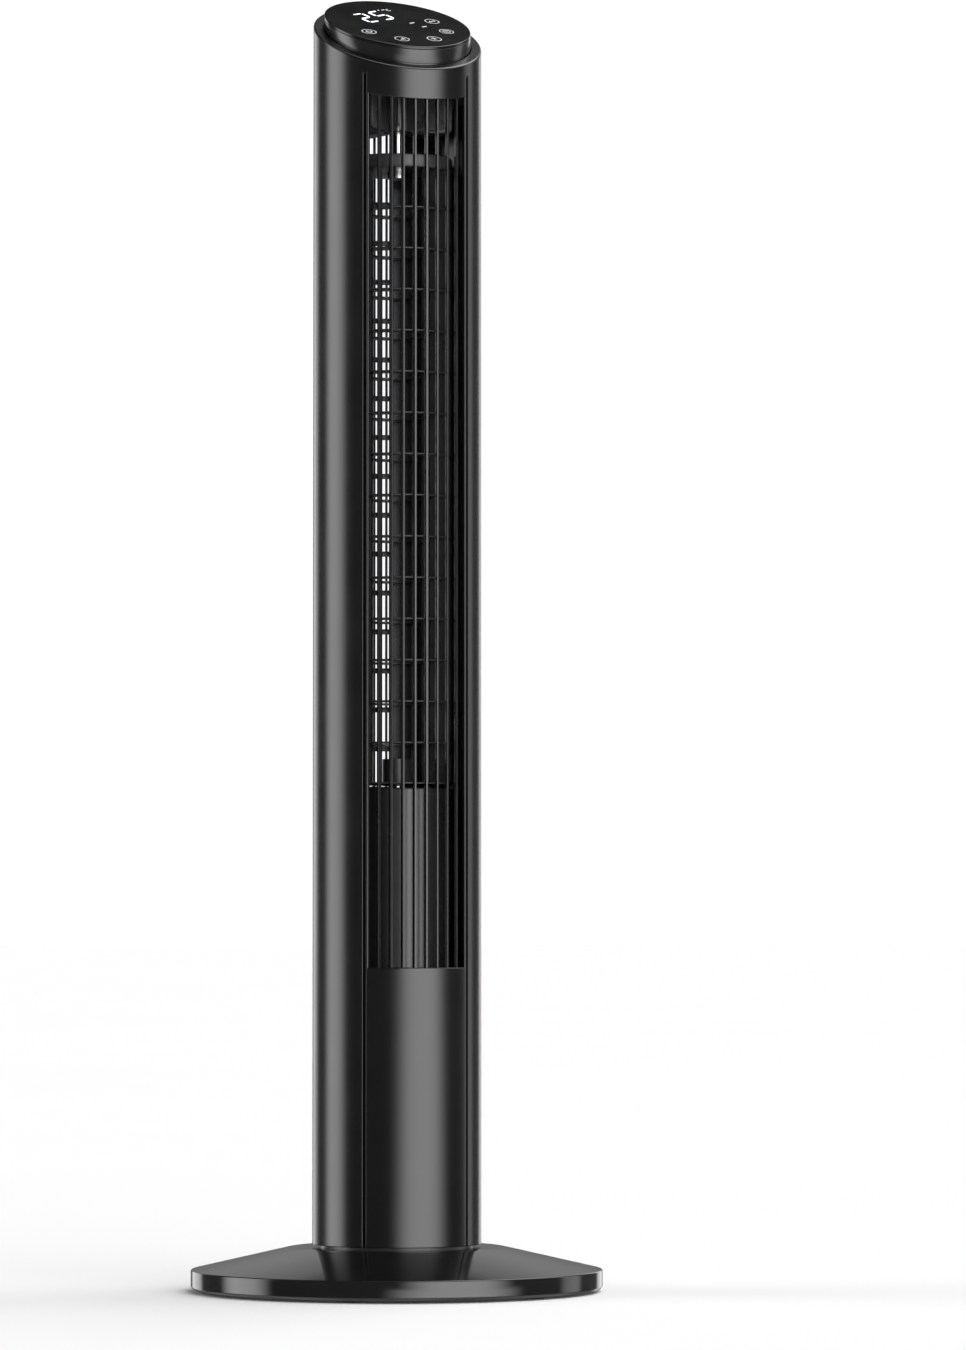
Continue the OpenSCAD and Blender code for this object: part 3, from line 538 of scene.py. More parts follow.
def shell_angles(window_half, with_grooves):
    """Angles of the shell's columns: even steps, and closer ones beside each edge."""
    per_mm = math.degrees(1 / COLUMN_R)
    close = [90 - d * per_mm for d in (0, 0.04, 0.12, 0.22, 0.35, 0.7)]
    close += [window_half + d * per_mm for d in EDGE_STEPS]
    if with_grooves:
        for d in (0, 0.7, 1.37, 1.4, 1.44, 1.52, 1.64, 1.8, 2.0):
            close += [GROOVE_ANGLE + d * per_mm, GROOVE_ANGLE - d * per_mm]
        close = [a for a in close if not (window_half + 1.02 * per_mm < a < GROOVE_ANGLE - 2.05 * per_mm)]
    close = sorted({round(a * s, 5) for a in close for s in (-1, 1)})
    even = [2.5 * k for k in range(-36, 37)]
    return sorted(close + [a for a in even if all(abs(a - c) > 0.7 for c in close)])


def outer_rows(window_low, window_high, window_slope, with_grooves):
    """The rows of a shell's outer face from the bottom up, as (height, slope, set-back).

    Also gives the number of the row at the window's lower edge.
    """
    round_in = [(1 - math.cos(math.pi / 2 * k / 5), 1 - math.sin(math.pi / 2 * k / 5)) for k in range(6)]
    rows = [(COLUMN_Z + BOTTOM_EDGE * c, 0, BOTTOM_EDGE * s) for c, s in round_in]
    rows.append((COLUMN_Z + BOTTOM_EDGE + 0.6, 0, 0))
    rows += [(window_low - d, 0, 0) for d in reversed(EDGE_STEPS)]
    bottom = len(rows) - 1
    rows += [(window_high + d, window_slope, 0) for d in EDGE_STEPS]
    if with_grooves:
        base = GROOVE_TOP + RIM_SLOPE * COLUMN_R * math.cos(math.radians(GROOVE_ANGLE))
        offsets = (-2.2, -1.4, -1.0, -0.6, -0.3, -0.1, 0, 0.06, 0.16, 0.32, 0.6, 1.2)
        rows += [(base + d, RIM_SLOPE, 0) for d in offsets]
    rows.append((RIM_Z - RIM_EDGE - 0.5, RIM_SLOPE, 0))
    rows += [(RIM_Z - RIM_EDGE * s, RIM_SLOPE, RIM_EDGE * c) for c, s in round_in]
    return rows, bottom


def shell_shape(front, window_half, window_low, window_high, window_slope):
    """Half of the column's tube with its window and rolled edges, as one closed skin.

    Every column of points is a closed loop: up the outer face, over the lip and down the inner face.
    """
    side = -1 if front else 1
    rows, bottom = outer_rows(window_low, window_high, window_slope, front)
    top = bottom + 1
    quarter = [math.radians(90 * k / 3) for k in range(4)]
    path = [(COLUMN_R - inset, z, slope) for z, slope, inset in rows]
    path.append((COLUMN_R - RIM_EDGE - 0.6, RIM_Z, RIM_SLOPE))
    path.append((LIP_BORE + BORE_EDGE + 0.6, RIM_Z, RIM_SLOPE))
    path += [
        (LIP_BORE + BORE_EDGE * (1 - math.sin(t)), RIM_Z - BORE_EDGE * (1 - math.cos(t)), RIM_SLOPE)
        for t in quarter
    ]
    path.append((LIP_BORE, RIM_Z - LIP, RIM_SLOPE))
    path.append((INNER_R, RIM_Z - LIP, RIM_SLOPE))
    inner_top = len(path)
    path.append((INNER_R, window_high, window_slope))
    path.append((INNER_R, window_low, 0))
    path.append((INNER_R, COLUMN_Z, 0))

    def place(angle, index):
        r, z, slope = path[index]
        a = math.radians(angle)
        if index < len(rows):
            z_here = z - slope * COLUMN_R * math.cos(a) * (1 if front else -1)
            across = COLUMN_R * math.radians(max(abs(angle) - window_half, 0))
            window_z = window_high - window_slope * COLUMN_R * math.cos(a)
            above = max(window_low - z_here, z_here - window_z, 0)
            r -= eased(math.hypot(across, above), WINDOW_EDGE)
            r -= eased(COLUMN_R * math.radians(90 - abs(angle)), SEAM_EDGE)
            if front:
                off = COLUMN_R * math.radians(abs(abs(angle) - GROOVE_ANGLE))
                beyond = math.hypot(off, max(z_here - (GROOVE_TOP - GROOVE_HALF), 0))
                in_groove = beyond < GROOVE_HALF - 0.01
                r -= GROOVE_DEPTH if in_groove else eased(beyond - GROOVE_HALF, GROOVE_EDGE)
        y = side * r * math.cos(a)
        return r * math.sin(a), y, z + slope * y

    angles = shell_angles(window_half, front)
    n = len(path)
    points = [place(a, i) for a in angles for i in range(n)]
    faces = []
    for j in range(len(angles) - 1):
        inside = abs(angles[j] + angles[j + 1]) / 2 < window_half
        for i in range(n):
            if inside and i in (bottom, inner_top):
                continue
            faces.append((j * n + i, j * n + (i + 1) % n, (j + 1) * n + (i + 1) % n, (j + 1) * n + i))
        if inside:
            for outer, inner in ((bottom, inner_top + 1), (top, inner_top)):
                faces.append((j * n + outer, (j + 1) * n + outer, (j + 1) * n + inner, j * n + inner))
    for edge in (-window_half, window_half):
        j = min(range(len(angles)), key=lambda k: abs(angles[k] - edge))
        faces.append((j * n + bottom, j * n + top, j * n + inner_top, j * n + inner_top + 1))
    faces.append(tuple(range(n)))
    faces.append(tuple(range(len(points) - n, len(points))))
    return Shape().add(points, faces)


def grip_outline(grow):
    """The hand grip's rounded rectangle as (x, z) points, larger all round by grow."""
    w, h, r = GRIP_W / 2 + grow, GRIP_H / 2 + grow, GRIP_CORNER + grow
    corners = [(-w, GRIP_Z - h, r), (w, GRIP_Z - h, r), (w, GRIP_Z + h, r), (-w, GRIP_Z + h, r)]
    out = []
    rounded = fillet(corners, 8)
    for (x0, z0), (x1, z1) in zip(rounded, rounded[1:] + rounded[:1]):
        parts = max(1, round(abs(x1 - x0) / 4))
        out += [(x0 + (x1 - x0) * k / parts, z0 + (z1 - z0) * k / parts) for k in range(parts)]
    return out


def on_cylinder(outline, r):
    """(x, z) points set on the back of an upright cylinder of radius r."""
    return [(x, math.sqrt(max(r * r - x * x, 0)), z) for x, z in outline]


def flared_tool(outline, start_y, flare):
    """A cutting tool through the column's back, which opens out at the skin to leave a small chamfer."""
    loops = [[(x, start_y, z) for x, z in outline(0)]]
    loops.append(on_cylinder(outline(0), COLUMN_R - flare))
    loops.append(on_cylinder(outline(flare * 1.4), COLUMN_R + flare * 0.4))
    loops.append([(x, COLUMN_R + 8, z) for x, _, z in loops[-1]])
    return loft(loops)


def build_groove_shade_sheets():
    """Thin near-black matt sheets on the bottom and the sides of the two long grooves: painted shade that
    makes the shallow grooves look like deep dark slots.
    """
    shade_sheets = Shape()
    per_mm = math.degrees(1 / COLUMN_R)
    bottom = COLUMN_R - GROOVE_DEPTH
    z0, top = COLUMN_Z + 0.9, GROOVE_TOP - GROOVE_HALF
    half = GROOVE_HALF - 0.03
    for middle in (-GROOVE_ANGLE, GROOVE_ANGLE):
        for r0, r1, side0, side1 in (
            (bottom - 0.1, bottom + 0.08, -half, half),
            (bottom, COLUMN_R - 0.3, -half, 0.07 - half),
            (bottom, COLUMN_R - 0.3, half - 0.07, half),
        ):
            strip = rounded_block(r0, r1, z0, top, 0, 0)
            shade_sheets.add(*sweep(strip, middle + side0 * per_mm, middle + side1 * per_mm, 2))
    make("groove_shade_sheets", shade_sheets, "shell_plastic", "column", material="groove_painted_shade")


def build_shells():
    shape = shell_shape(True, OUTLET_HALF, OUTLET_Z, OUTLET_TOP, OUTLET_SLOPE)
    make("front_shell_skin", shape, "shell_plastic", "column", ["front_shell"])
    build_groove_shade_sheets()

    rear = raw_object("rear_shell_skin", shell_shape(False, INTAKE_HALF, INTAKE_Z, INTAKE_TOP, 0))
    bosses = Shape()
    for place in SHELL_SCREWS:
        outline = circle(4, 32, place)
        bosses.add(*loft([[(x, 0.3, z) for x, z in outline], on_cylinder(outline, COLUMN_R - 0.8)]))
    cut(rear, bosses, "UNION")
    pockets = Shape()
    for place in SHELL_SCREWS:
        pockets.add(*flared_tool(lambda grow, at=place: circle(3.3 + grow, 32, at), SCREW_SEAT_Y, 0.25))
    pockets.add(*flared_tool(lambda grow: grip_outline(GRIP_WALL + grow), GRIP_BACK - 3, 0.35))
    cut(rear, pockets)
    finish_piece(rear, "shell_plastic", "column", ["rear_shell"])
    skin_normals(rear)

    handle = Shape()
    lip_r = COLUMN_R - 0.6
    loops = [[(x, GRIP_BACK - GRIP_WALL, z) for x, z in grip_outline(GRIP_WALL - 0.4)]]
    loops.append([(x, GRIP_BACK - GRIP_WALL + 0.4, z) for x, z in grip_outline(GRIP_WALL - 0.05)])
    loops.append(on_cylinder(grip_outline(GRIP_WALL - 0.05), lip_r - 0.3))
    loops.append(on_cylinder(grip_outline(GRIP_WALL - 0.3), lip_r))
    for t in (0, 30, 60, 90):
        c, s = math.cos(math.radians(t)), math.sin(math.radians(t))
        loops.append(on_cylinder(grip_outline(1.2 * (1 - s)), lip_r - 1.2 * (1 - c)))
    for t in (0, 22, 45, 67, 90):
        c, s = math.cos(math.radians(t)), math.sin(math.radians(t))
        loops.append([(x, GRIP_BACK + 4 * (1 - s), z) for x, z in grip_outline(-4 * (1 - c))])
    handle.add(*loft(loops))
    make("grip_recess", handle, "grille_plastic", "column", ["carry_handle"])


# ---- grilles ---------------------------------------------------------------


def fin_loop(x, back_y, front_r, z, slope):
    """One level of a fin: a narrow front with rounded edges that follows the column, and two back corners."""
    half, edge = 0.8, 0.25
    loop = []
    for side in (-1, 1):
        corner = []
        for t in (0, 30, 60, 90):
            s, c = math.sin(math.radians(t)), math.cos(math.radians(t))
            px = x + side * (half - edge * (1 - s))
            corner.append((px, -math.sqrt(front_r**2 - px**2) + edge * (1 - c)))
        loop += corner[::-1] if side < 0 else corner
    loop += [(x + half, back_y - 0.2), (x + half - 0.2, back_y)]
    loop += [(x - half + 0.2, back_y), (x - half, back_y - 0.2)]
    return [(px, py, z + slope * py) for px, py in loop]


def build_outlet_grille():
    grille = Shape()
    pitch = 2 * OUTLET_HALF / (FINS + 1)
    tucked, shown = INNER_R - TUCK, COLUMN_R - 0.4
    for k in range(FINS):
        a = math.radians((k - (FINS - 1) / 2) * pitch)
        x = COLUMN_R * math.sin(a)
        back_y = -COLUMN_R * math.cos(a) + FIN_DEPTH
        rows = [
            (tucked, OUTLET_Z - OUTLET_LAP, 0),
            (tucked, OUTLET_Z, 0),
            (shown, OUTLET_Z, 0),
            (shown, OUTLET_TOP, OUTLET_SLOPE),
            (tucked, OUTLET_TOP, OUTLET_SLOPE),
            (tucked, OUTLET_TOP + OUTLET_LAP, OUTLET_SLOPE),
        ]
        grille.add(*loft([fin_loop(x, back_y, r, z, slope) for r, z, slope in rows]))
    for z, slope in ((OUTLET_Z - OUTLET_LAP, 0), (OUTLET_TOP, OUTLET_SLOPE)):
        band = rounded_block(INNER_R - 3, tucked, z, z + OUTLET_LAP, 0.4, 0.3)
        grille.add(*sweep([(r, h, slope) for r, h in band], -OUTLET_HALF - 2, OUTLET_HALF + 2, 40))
    make("outlet_fins", grille, "grille_plastic", "column", ["front_grille"])


def build_intake_grille():
    grille = Shape()
    back = 180
    rib_pitch = (INTAKE_TOP - INTAKE_Z) / (INTAKE_RIBS + 1)
    r0, r1 = INNER_R - 1.85, INNER_R - TUCK
    for k in range(1, INTAKE_RIBS + 1):
        z = INTAKE_Z + k * rib_pitch
        outline = rounded_block(r0, r1, z - RIB_H / 2, z + RIB_H / 2, 0.4, 0.6)
        grille.add(*sweep(outline, back - INTAKE_HALF - 1, back + INTAKE_HALF + 1, 40))
    y0, y1 = INNER_R - 0.6, COLUMN_R - 0.4
    bar = fillet([(-1, y0, 0), (1, y0, 0), (1, y1, 0.7), (-1, y1, 0.7)])
    bar_pitch = 2 * INTAKE_HALF / (INTAKE_BARS + 1)
    for k in range(INTAKE_BARS):
        turn = turned((k - (INTAKE_BARS - 1) / 2) * bar_pitch)
        grille.add(*extrude(bar, INTAKE_Z, INTAKE_TOP, 0.2), turn)
    for z0, z1 in ((INTAKE_Z - INTAKE_LAP, INTAKE_Z + 1), (INTAKE_TOP - 1, INTAKE_TOP + INTAKE_LAP)):
        outline = rounded_block(r0, r1, z0, z1, 0.3, 0.3)
        grille.add(*sweep(outline, back - INTAKE_HALF - 3, back + INTAKE_HALF + 3, 40))
    for s in (-1, 1):
        edge = back + s * (INTAKE_HALF - 0.5)
        outline = rounded_block(r0, r1, INTAKE_Z - INTAKE_LAP, INTAKE_TOP + INTAKE_LAP, 0, 0)
        grille.add(*sweep(outline, edge, edge + s * 3.5, 4))
    make("intake_lattice", grille, "grille_plastic", "column", ["rear_grille"])


# ---- blower, duct and motor drum -------------------------------------------


def blade_outline():
    """A forward-curved blade in plan, as a thin arc with round ends."""
    mid = ROTOR_R - BLADE_CHORD / 2 - 0.6
    sunk = BLADE_BEND - 2
    span = math.asin(BLADE_CHORD / 2 / BLADE_BEND)
    steps = 10
    outer, inner = [], []
    for k in range(steps + 1):
        a = -span + 2 * span * k / steps
        taper = BLADE_T / 2 * (0.55 + 0.45 * math.sin(math.pi * k / steps))
        for r, line in ((BLADE_BEND + taper, outer), (BLADE_BEND - taper, inner)):
            line.append((mid + r * math.sin(a), r * math.cos(a) - sunk))
    return outer + inner[::-1]


def build_blower():
    rotor = Shape()
    blade = blade_outline()
    sections_top = ROTOR_Z + SECTIONS * SECTION_H
    for k in range(BLADES):
        rotor.add(*extrude(blade, ROTOR_Z + 0.5, sections_top), turned(BLADE_START + k * 360 / BLADES))
    for k in range(SECTIONS + 1):
        z = ROTOR_Z + k * SECTION_H - (0.7 if k else 0)
        bore = 12 if k == 0 else (9 if k == SECTIONS else 28)
        disc = fillet([(bore, z, 0.3), (ROTOR_R, z, 0.65), (ROTOR_R, z + 1.4, 0.65), (bore, z + 1.4, 0.3)])
        rotor.add(*sweep(disc, steps=120))
    cap = fillet(
        [
            (9, ROTOR_TOP - 1, 0),
            (ROTOR_R - 2, ROTOR_TOP - 1, 0),
            (ROTOR_R - 2, sections_top + 0.3, 0),
            (ROTOR_R, sections_top + 0.3, 0.3),
            (ROTOR_R, ROTOR_TOP, 1.6),
            (ROTOR_R - 5, ROTOR_TOP, 0.4),
            (ROTOR_R - 6, ROTOR_TOP - 0.5, 0.4),
            (9, ROTOR_TOP - 0.5, 0),
        ]
    )
    rotor.add(*sweep(cap, steps=120))
    make("blower_cage", rotor, "rotor_plastic", "rotor", ["blower_rotor"])


def duct_sheet(side, start, start_r, power, z0, z1):
    """A curved wall beside the rotor whose radius grows from its start to the outlet's edge."""
    steps = 48
    faces = []
    for k in range(steps + 1):
        share = k / steps
        a = math.radians(start + (DUCT_END_ANGLE - start) * share)
        r = start_r + (DUCT_END_R - start_r) * share**power
        ring = []
        for d, z in ((0, z0), (DUCT_T, z0), (DUCT_T, z1), (0, z1)):
            ring.append((side * (r + d) * math.sin(a), -(r + d) * math.cos(a), z))
        faces.append(ring)
    return loft(faces)


def build_duct():
    z0, z1 = low("volute_wall").z, high("volute_wall").z
    vortex = Shape().add(*duct_sheet(-1, VORTEX_ANGLE, ROTOR_R + 3, 1.4, z0, z1))
    make("vortex_liner", vortex, "duct_plastic", "column", ["vortex_wall"])
    volute = Shape().add(*duct_sheet(1, VOLUTE_ANGLE, ROTOR_R + 2, 1.6, z0, z1))
    make("volute_liner", volute, "duct_plastic", "column", ["volute_wall"])

    drum = Shape()
    outline = fillet(
        [
            (DRUM_R - 2, DRUM_Z, 0),
            (INNER_R - 0.4, DRUM_Z, 0.4),
            (INNER_R - 0.4, DRUM_Z + 3, 0.6),
            (DRUM_R, DRUM_Z + 3, 1.5),
            (DRUM_R, DRUM_TOP, 1.8),
            (14, DRUM_TOP, 0.5),
            (14, DRUM_TOP - 3, 0),
            (DRUM_R - 2, DRUM_TOP - 3, 0),
        ]
    )
    drum.add(*sweep(outline, steps=160))
    obj = raw_object("motor_drum_moulded", drum)
    keep = Shape().add(*extrude([(-70, -46), (70, -46), (70, 46), (-70, 46)], DRUM_Z - 1, DRUM_TOP + 1))
    cut(obj, keep, "INTERSECT")
    finish_piece(obj, "duct_plastic", "column", ["motor_drum"])


def build_upper_bracket():
    """The bearing carrier above the rotor: a round plate with holes, a hub, and rounded vanes below it."""
    z0, z1 = low("upper_bracket").z, high("upper_bracket").z
    under = z1 - BRACKET_T
    r = INNER_R - 0.35
    bracket = Shape()
    plate = fillet([(6, under, 0), (r, under, 0.5), (r, z1, 0.8), (6, z1, 0.6)])
    bracket.add(*sweep(plate, steps=144))
    obj = raw_object("upper_bracket_moulded", bracket)
    tools = Shape()
    for k in range(BRACKET_HOLES):
        place = turned(30 + 360 / BRACKET_HOLES * k) @ moved(40, 0, 0)
        tools.add(*extrude(circle(11, 40), under - 1, z1 + 1), place)
    for angle in BRACKET_SCREW_ANGLES:
        place = turned(angle) @ moved(BRACKET_SCREW_CIRCLE, 0, 0)
        tools.add(*extrude(circle(SCREW_HOLE_R, 20), under - 1, z1 + 1), place)
    cut(obj, tools)
    half, front_r = OUTLET_HALF + 3, COLUMN_R - FIN_DEPTH - 1.4
    notch = rounded_block(front_r, r + 2, under - 1, z1 + 1, 0, 0)
    cut(obj, Shape().add(*sweep(notch, -half, half, 40)))
    shape = taken_apart(obj)

    joined = under + 0.5
    seat_top = z0 + 12.05
    hub = [(12.05, z0, 0.3), (16, z0, 1.2), (16, joined, 0), (6.2, joined, 0), (6.2, seat_top, 0)]
    shape.add(*sweep(fillet(hub + [(12.05, seat_top, 0)]), steps=72))
    for k in range(VANES):
        vane = [(15, z0, 0), (VANE_R, z0, 3.5), (VANE_R, joined, 0), (15, joined, 0)]
        loops = []
        for y, inset in ((-1, 0.35), (-0.7, 0), (0.7, 0), (1, 0.35)):
            drawn_in = [(min(px, VANE_R - inset), max(z, z0 + inset), c) for px, z, c in vane]
            loops.append([(px, y, z) for px, z in fillet(drawn_in)])
        shape.add(*loft(loops), turned(15 + 360 / VANES * k))
    nodes = ["upper_bracket"]
    # The bracket takes the lighter frame plastic rather than its own dark duct plastic: a painted highlight
    # that brightens the vanes as if lit
    make("upper_bracket_moulded", shape, "duct_plastic", "column", nodes, material="frame_plastic")


# ---- control panel ---------------------------------------------------------


def panel_frame():
    """The panel's face as a frame: X right, Y up the slope and Z out of the face."""
    return moved(0, 0, PANEL_Z) @ Matrix.Rotation(PANEL_TILT, 4, "X")


def graphics_frame():
    return panel_frame() @ moved(*GRAPHICS_CENTRE, 0) @ Matrix.Rotation(GRAPHICS_TURN, 4, "Z")


def build_panel():
    drop = math.hypot(1, PANEL_SLOPE)
    rim_drop = math.hypot(1, RIM_SLOPE)
    lens_low = PANEL_Z - LENS_T * drop
    floor = RIM_Z - 9 * rim_drop
    housing = Shape()
    inside = floor + 2 * rim_drop
    outer, inner = PANEL_R, PANEL_R - 2
    path = [(0, floor, RIM_SLOPE), (outer, floor, RIM_SLOPE)]
    path += [(outer, RIM_Z - 3.2, RIM_SLOPE), (outer - 0.9, RIM_Z - 2.6, RIM_SLOPE)]
    path += [(outer - 0.9, RIM_Z + 0.3, RIM_SLOPE), (outer - 0.3, RIM_Z + 0.6, RIM_SLOPE)]
    path += [(outer - 0.08, RIM_Z + 0.75, RIM_SLOPE), (outer, RIM_Z + 1.0, RIM_SLOPE)]
    path += [(outer, lens_low - 1.0, PANEL_SLOPE)]
    for t in (0, 30, 60, 90):
        s, c = math.sin(math.radians(t)), math.cos(math.radians(t))
        path.append((outer - 0.35 * (1 - c), lens_low - 0.35 * (1 - s), PANEL_SLOPE))
    path += [(inner, lens_low, PANEL_SLOPE), (inner, inside, RIM_SLOPE), (0, inside, RIM_SLOPE)]
    housing.add(*sweep(path, steps=240))
    flange_z = RIM_Z - (WALL + 2.1) * rim_drop
    flange = rounded_block(PANEL_R - 1, FLANGE_R, flange_z, flange_z + 1.9, 0, 0)
    housing.add(*sweep([(r, z, RIM_SLOPE) for r, z in flange], steps=120))
    make("panel_housing_skin", housing, "panel_rim", "column", ["panel_housing"], sharp=30)

    lens = Shape()
    path = [(0, PANEL_Z, PANEL_SLOPE), (PANEL_R - 1.2, PANEL_Z, PANEL_SLOPE)]
    for t in range(0, 91, 15):
        s, c = math.sin(math.radians(t)), math.cos(math.radians(t))
        path.append((PANEL_R - 0.6 * (1 - s), PANEL_Z - 0.6 * (1 - c), PANEL_SLOPE))
    path += [(PANEL_R, lens_low + 0.8, PANEL_SLOPE), (PANEL_R, lens_low + 0.35, PANEL_SLOPE)]
    path += [(PANEL_R - 0.35, lens_low + 0.02, PANEL_SLOPE), (0, lens_low + 0.02, PANEL_SLOPE)]
    lens.add(*sweep(path, steps=240))
    make("panel_lens", lens, "panel_face", "column", ["control_panel"], sharp=30)
    build_graphics()


PRINT_Z = 0.005
PRINT_T = 0.03
SEGMENTS = {
    "a": ((0, 1), (1, 1)),
    "b": ((1, 1), (1, 0.5)),
    "c": ((1, 0.5), (1, 0)),
    "d": ((0, 0), (1, 0)),
    "e": ((0, 0.5), (0, 0)),
    "f": ((0, 1), (0, 0.5)),
    "g": ((0, 0.5), (1, 0.5)),
}
DIGIT_SEGMENTS = {"2": "abged", "5": "afgcd"}


def printed(outline):
    return extrude(outline, PRINT_Z, PRINT_T)


def bar_outline(start, end, width, point):
    """A flat bar with pointed ends, as in a segment display. Point is how long the points are."""
    a, b = Vector(start), Vector(end)
    along = (b - a).normalized()
    out = Vector((-along.y, along.x)) * width / 2
    a_in, b_in = a + along * point, b - along * point
    return [(p.x, p.y) for p in (a, a_in + out, b_in + out, b, b_in - out, a_in - out)]


def arc_band(centre, r, width, start, end, steps=40):
    """A flat curved band, whose angles run from +X towards +Y in degrees."""
    loops = []
    for k in range(steps + 1):
        a = math.radians(start + (end - start) * k / steps)
        c, s = math.cos(a), math.sin(a)
        inner, outer = r - width / 2, r + width / 2
        ring = [(inner, PRINT_Z), (outer, PRINT_Z), (outer, PRINT_T), (inner, PRINT_T)]
        loops.append([(centre[0] + q * c, centre[1] + q * s, z) for q, z in ring])
    return loft(loops, closed=False)


def build_graphics():
    place = graphics_frame()
    digits = Shape()
    for text, cx in (("2", -9.6), ("5", 8.8)):
        for name in DIGIT_SEGMENTS[text]:
            (x0, y0), (x1, y1) = SEGMENTS[name]
            start = Vector((cx + (x0 - 0.5) * DIGIT_W, DIGIT_Y + (y0 - 0.5) * DIGIT_H))
            end = Vector((cx + (x1 - 0.5) * DIGIT_W, DIGIT_Y + (y1 - 0.5) * DIGIT_H))
            along = (end - start).normalized() * SEGMENT_GAP
            outline = bar_outline(start + along, end - along, DIGIT_STROKE, DIGIT_STROKE / 2)
            digits.add(*printed([(x + DIGIT_LEAN * (y - DIGIT_Y), y) for x, y in outline]), place)
    make("display_digits", digits, "led_white", "column")

    rings = Shape()
    for k in range(5):
        a = math.radians(180 + 45 * k)
        centre = (TOUCH_ARC_R * math.cos(a), TOUCH_ARC_R * math.sin(a))
        rings.add(*arc_band(centre, TOUCH_RING_R, 0.55, 0, 360, 48), place)
        for outline in ICONS[k](*centre):
            rings.add(*outline, place)
    for x, y, length in ((17.5, 3.6, 5.5), (19.3, -8.8, 5.5)):
        rings.add(*printed(bar_outline((x - length / 2, y), (x + length / 2, y), 1.5, 0.5)), place)
    rings.add(*printed(circle(0.9, 16, (18.6, 43))), place)
    rings.add(*printed(bar_outline((21, 42.2), (25, 42.2), 1.0, 0.3)), place)
    rings.add(*arc_band((27.5, 40), 2.0, 0.7, 60, 300, 16), place)
    make("panel_marks", rings, "led_white", "column", material="mark_print")


def power_icon(x, y):
    bar = bar_outline((x, y + 0.4), (x, y + 3.2), 0.7, 0.1)
    return [arc_band((x, y), 2.4, 0.7, 125, 415, 24), printed(bar)]


def speed_icon(x, y):
    bars = [((x + 2 * k - 2, y - 2), (x + 2 * k - 2, y - 0.4 + 1.2 * k)) for k in range(3)]
    return [printed(bar_outline(*bar, 0.9, 0.1)) for bar in bars]


def mode_icon(x, y):
    return [arc_band((x, y + d), 3.2, 0.7, 60, 120, 10) for d in (-4.4, -2.6, -0.8)]


def timer_icon(x, y):
    hands = [((x, y), (x, y + 2.2)), ((x, y), (x + 1.6, y))]
    dial = arc_band((x, y), 3.1, 0.6, 0, 360, 28)
    return [dial] + [printed(bar_outline(*hand, 0.6, 0.1)) for hand in hands]


def swing_icon(x, y):
    """A two-way arrow."""
    strokes = [((x - 2.8, y), (x + 2.8, y))]
    for s in (-1, 1):
        strokes += [((x + 3.2 * s, y), (x + 1.4 * s, y + rise)) for rise in (1.5, -1.5)]
    return [printed(bar_outline(*stroke, 0.6, 0.1)) for stroke in strokes]


ICONS = (power_icon, speed_icon, mode_icon, timer_icon, swing_icon)


# ---- screws ----------------------------------------------------------------


def circle_at(r, z):
    return [(x, y, z) for x, y in circle(r)]


def screw_mesh(head_r, head_h, shank_r, length):
    """A pan head screw with a cross recess: its head lies below z = 0 and its shank above."""
    outline = fillet(
        [
            (head_r * 0.3, -head_h, 0),
            (head_r * 0.8, -head_h, head_h * 0.5),
            (head_r, -head_h * 0.45, head_h * 0.3),
            (head_r, 0, 0),
            (shank_r, 0, 0),
            (shank_r, length - shank_r, 0),
            (shank_r * 0.3, length, 0),
        ],
        4,
    )
    obj = raw_object("screw", Shape().add(*loft([circle_at(r, z) for r, z in outline])))
    arm, half = head_r * 0.58, head_r * 0.11
    for turn in (0, 90):
        taper = [(arm, half, -head_h - 0.1), (arm * 0.45, half * 0.6, -head_h * 0.25)]
        loops = [[(-a, -b, z), (a, -b, z), (a, b, z), (-a, b, z)] for a, b, z in taper]
        cut(obj, Shape().add(*loft(loops), turned(turn)))
    return taken_apart(obj)


def build_screws():
    base = Shape()
    one = screw_mesh(3.2, 1.4, 1.35, 15)
    for k in range(BASE_SCREWS):
        place = turned(30 + 360 / BASE_SCREWS * k) @ moved(BASE_SCREW_CIRCLE, 0, PAN_Z)
        base.add(one.points, one.faces, place)
    make("base_screws_detailed", base, "plated_steel", "base", ["base_screws"], sharp=30)

    shells = Shape()
    one = screw_mesh(3, 2, 1.35, 20)
    for x, z in SHELL_SCREWS:
        shells.add(one.points, one.faces, moved(x, SCREW_SEAT_Y, z) @ turned(90, "X"))
    make("shell_screws_detailed", shells, "black_screws", "column", ["shell_screws"], sharp=30)


# ---- carried-over nodes ----------------------------------------------------

SLOT_NODES = {
    "plated_steel": ["ballast_ring", "post_screws", "gear_screws", "column_base_screws", "bracket_screws"],
    "frame_plastic": ["pivot_post", "slide_ring", "column_base"],
    "acetal": ["fixed_gear", "drive_pinion"],
    "motor_steel": ["motor_can", "motor_rotor", "swivel_motor", "swivel_bracket"],
    "shaft_steel": ["motor_shaft", "pinion_shaft", "top_pin"],
    "copper_winding": ["motor_stator"],
    "bronze": ["motor_bearings", "upper_bush"],
    "touch_foam": ["motor_mounts", "bush_cushion", "touch_pads"],
    "rotor_plastic": ["rotor_hub"],
    "led_white": ["display_module"],
    "circuit_board": ["control_board", "power_board"],
    "components": ["board_parts"],
    "ir_window": ["ir_receiver"],
    "wire_jacket": ["wire_harness"],
    "black_screws": ["rear_grille_screws", "board_screws", "swivel_screws", "motor_screws"],
}


def dress_nodes():
    for slot, names in SLOT_NODES.items():
        for name in names:
            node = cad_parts[name]
            node.data.materials.clear()
            node.data.materials.append(MATERIALS[slot])


# ---- studio ----------------------------------------------------------------


def level_direction(degrees):
    a = math.radians(degrees)
    return (math.sin(a), -math.cos(a), 0)


# Soft lights round the object: direction from the front towards +X, half width, soft edge, brightness
SOFT_LIGHTS = (
    (18, 2, 34, 5.2),
    (-111, 1, 21, 4.3),
    (98, 2, 10.5, 1.3),
    (143, 3, 8, 1.4),
)
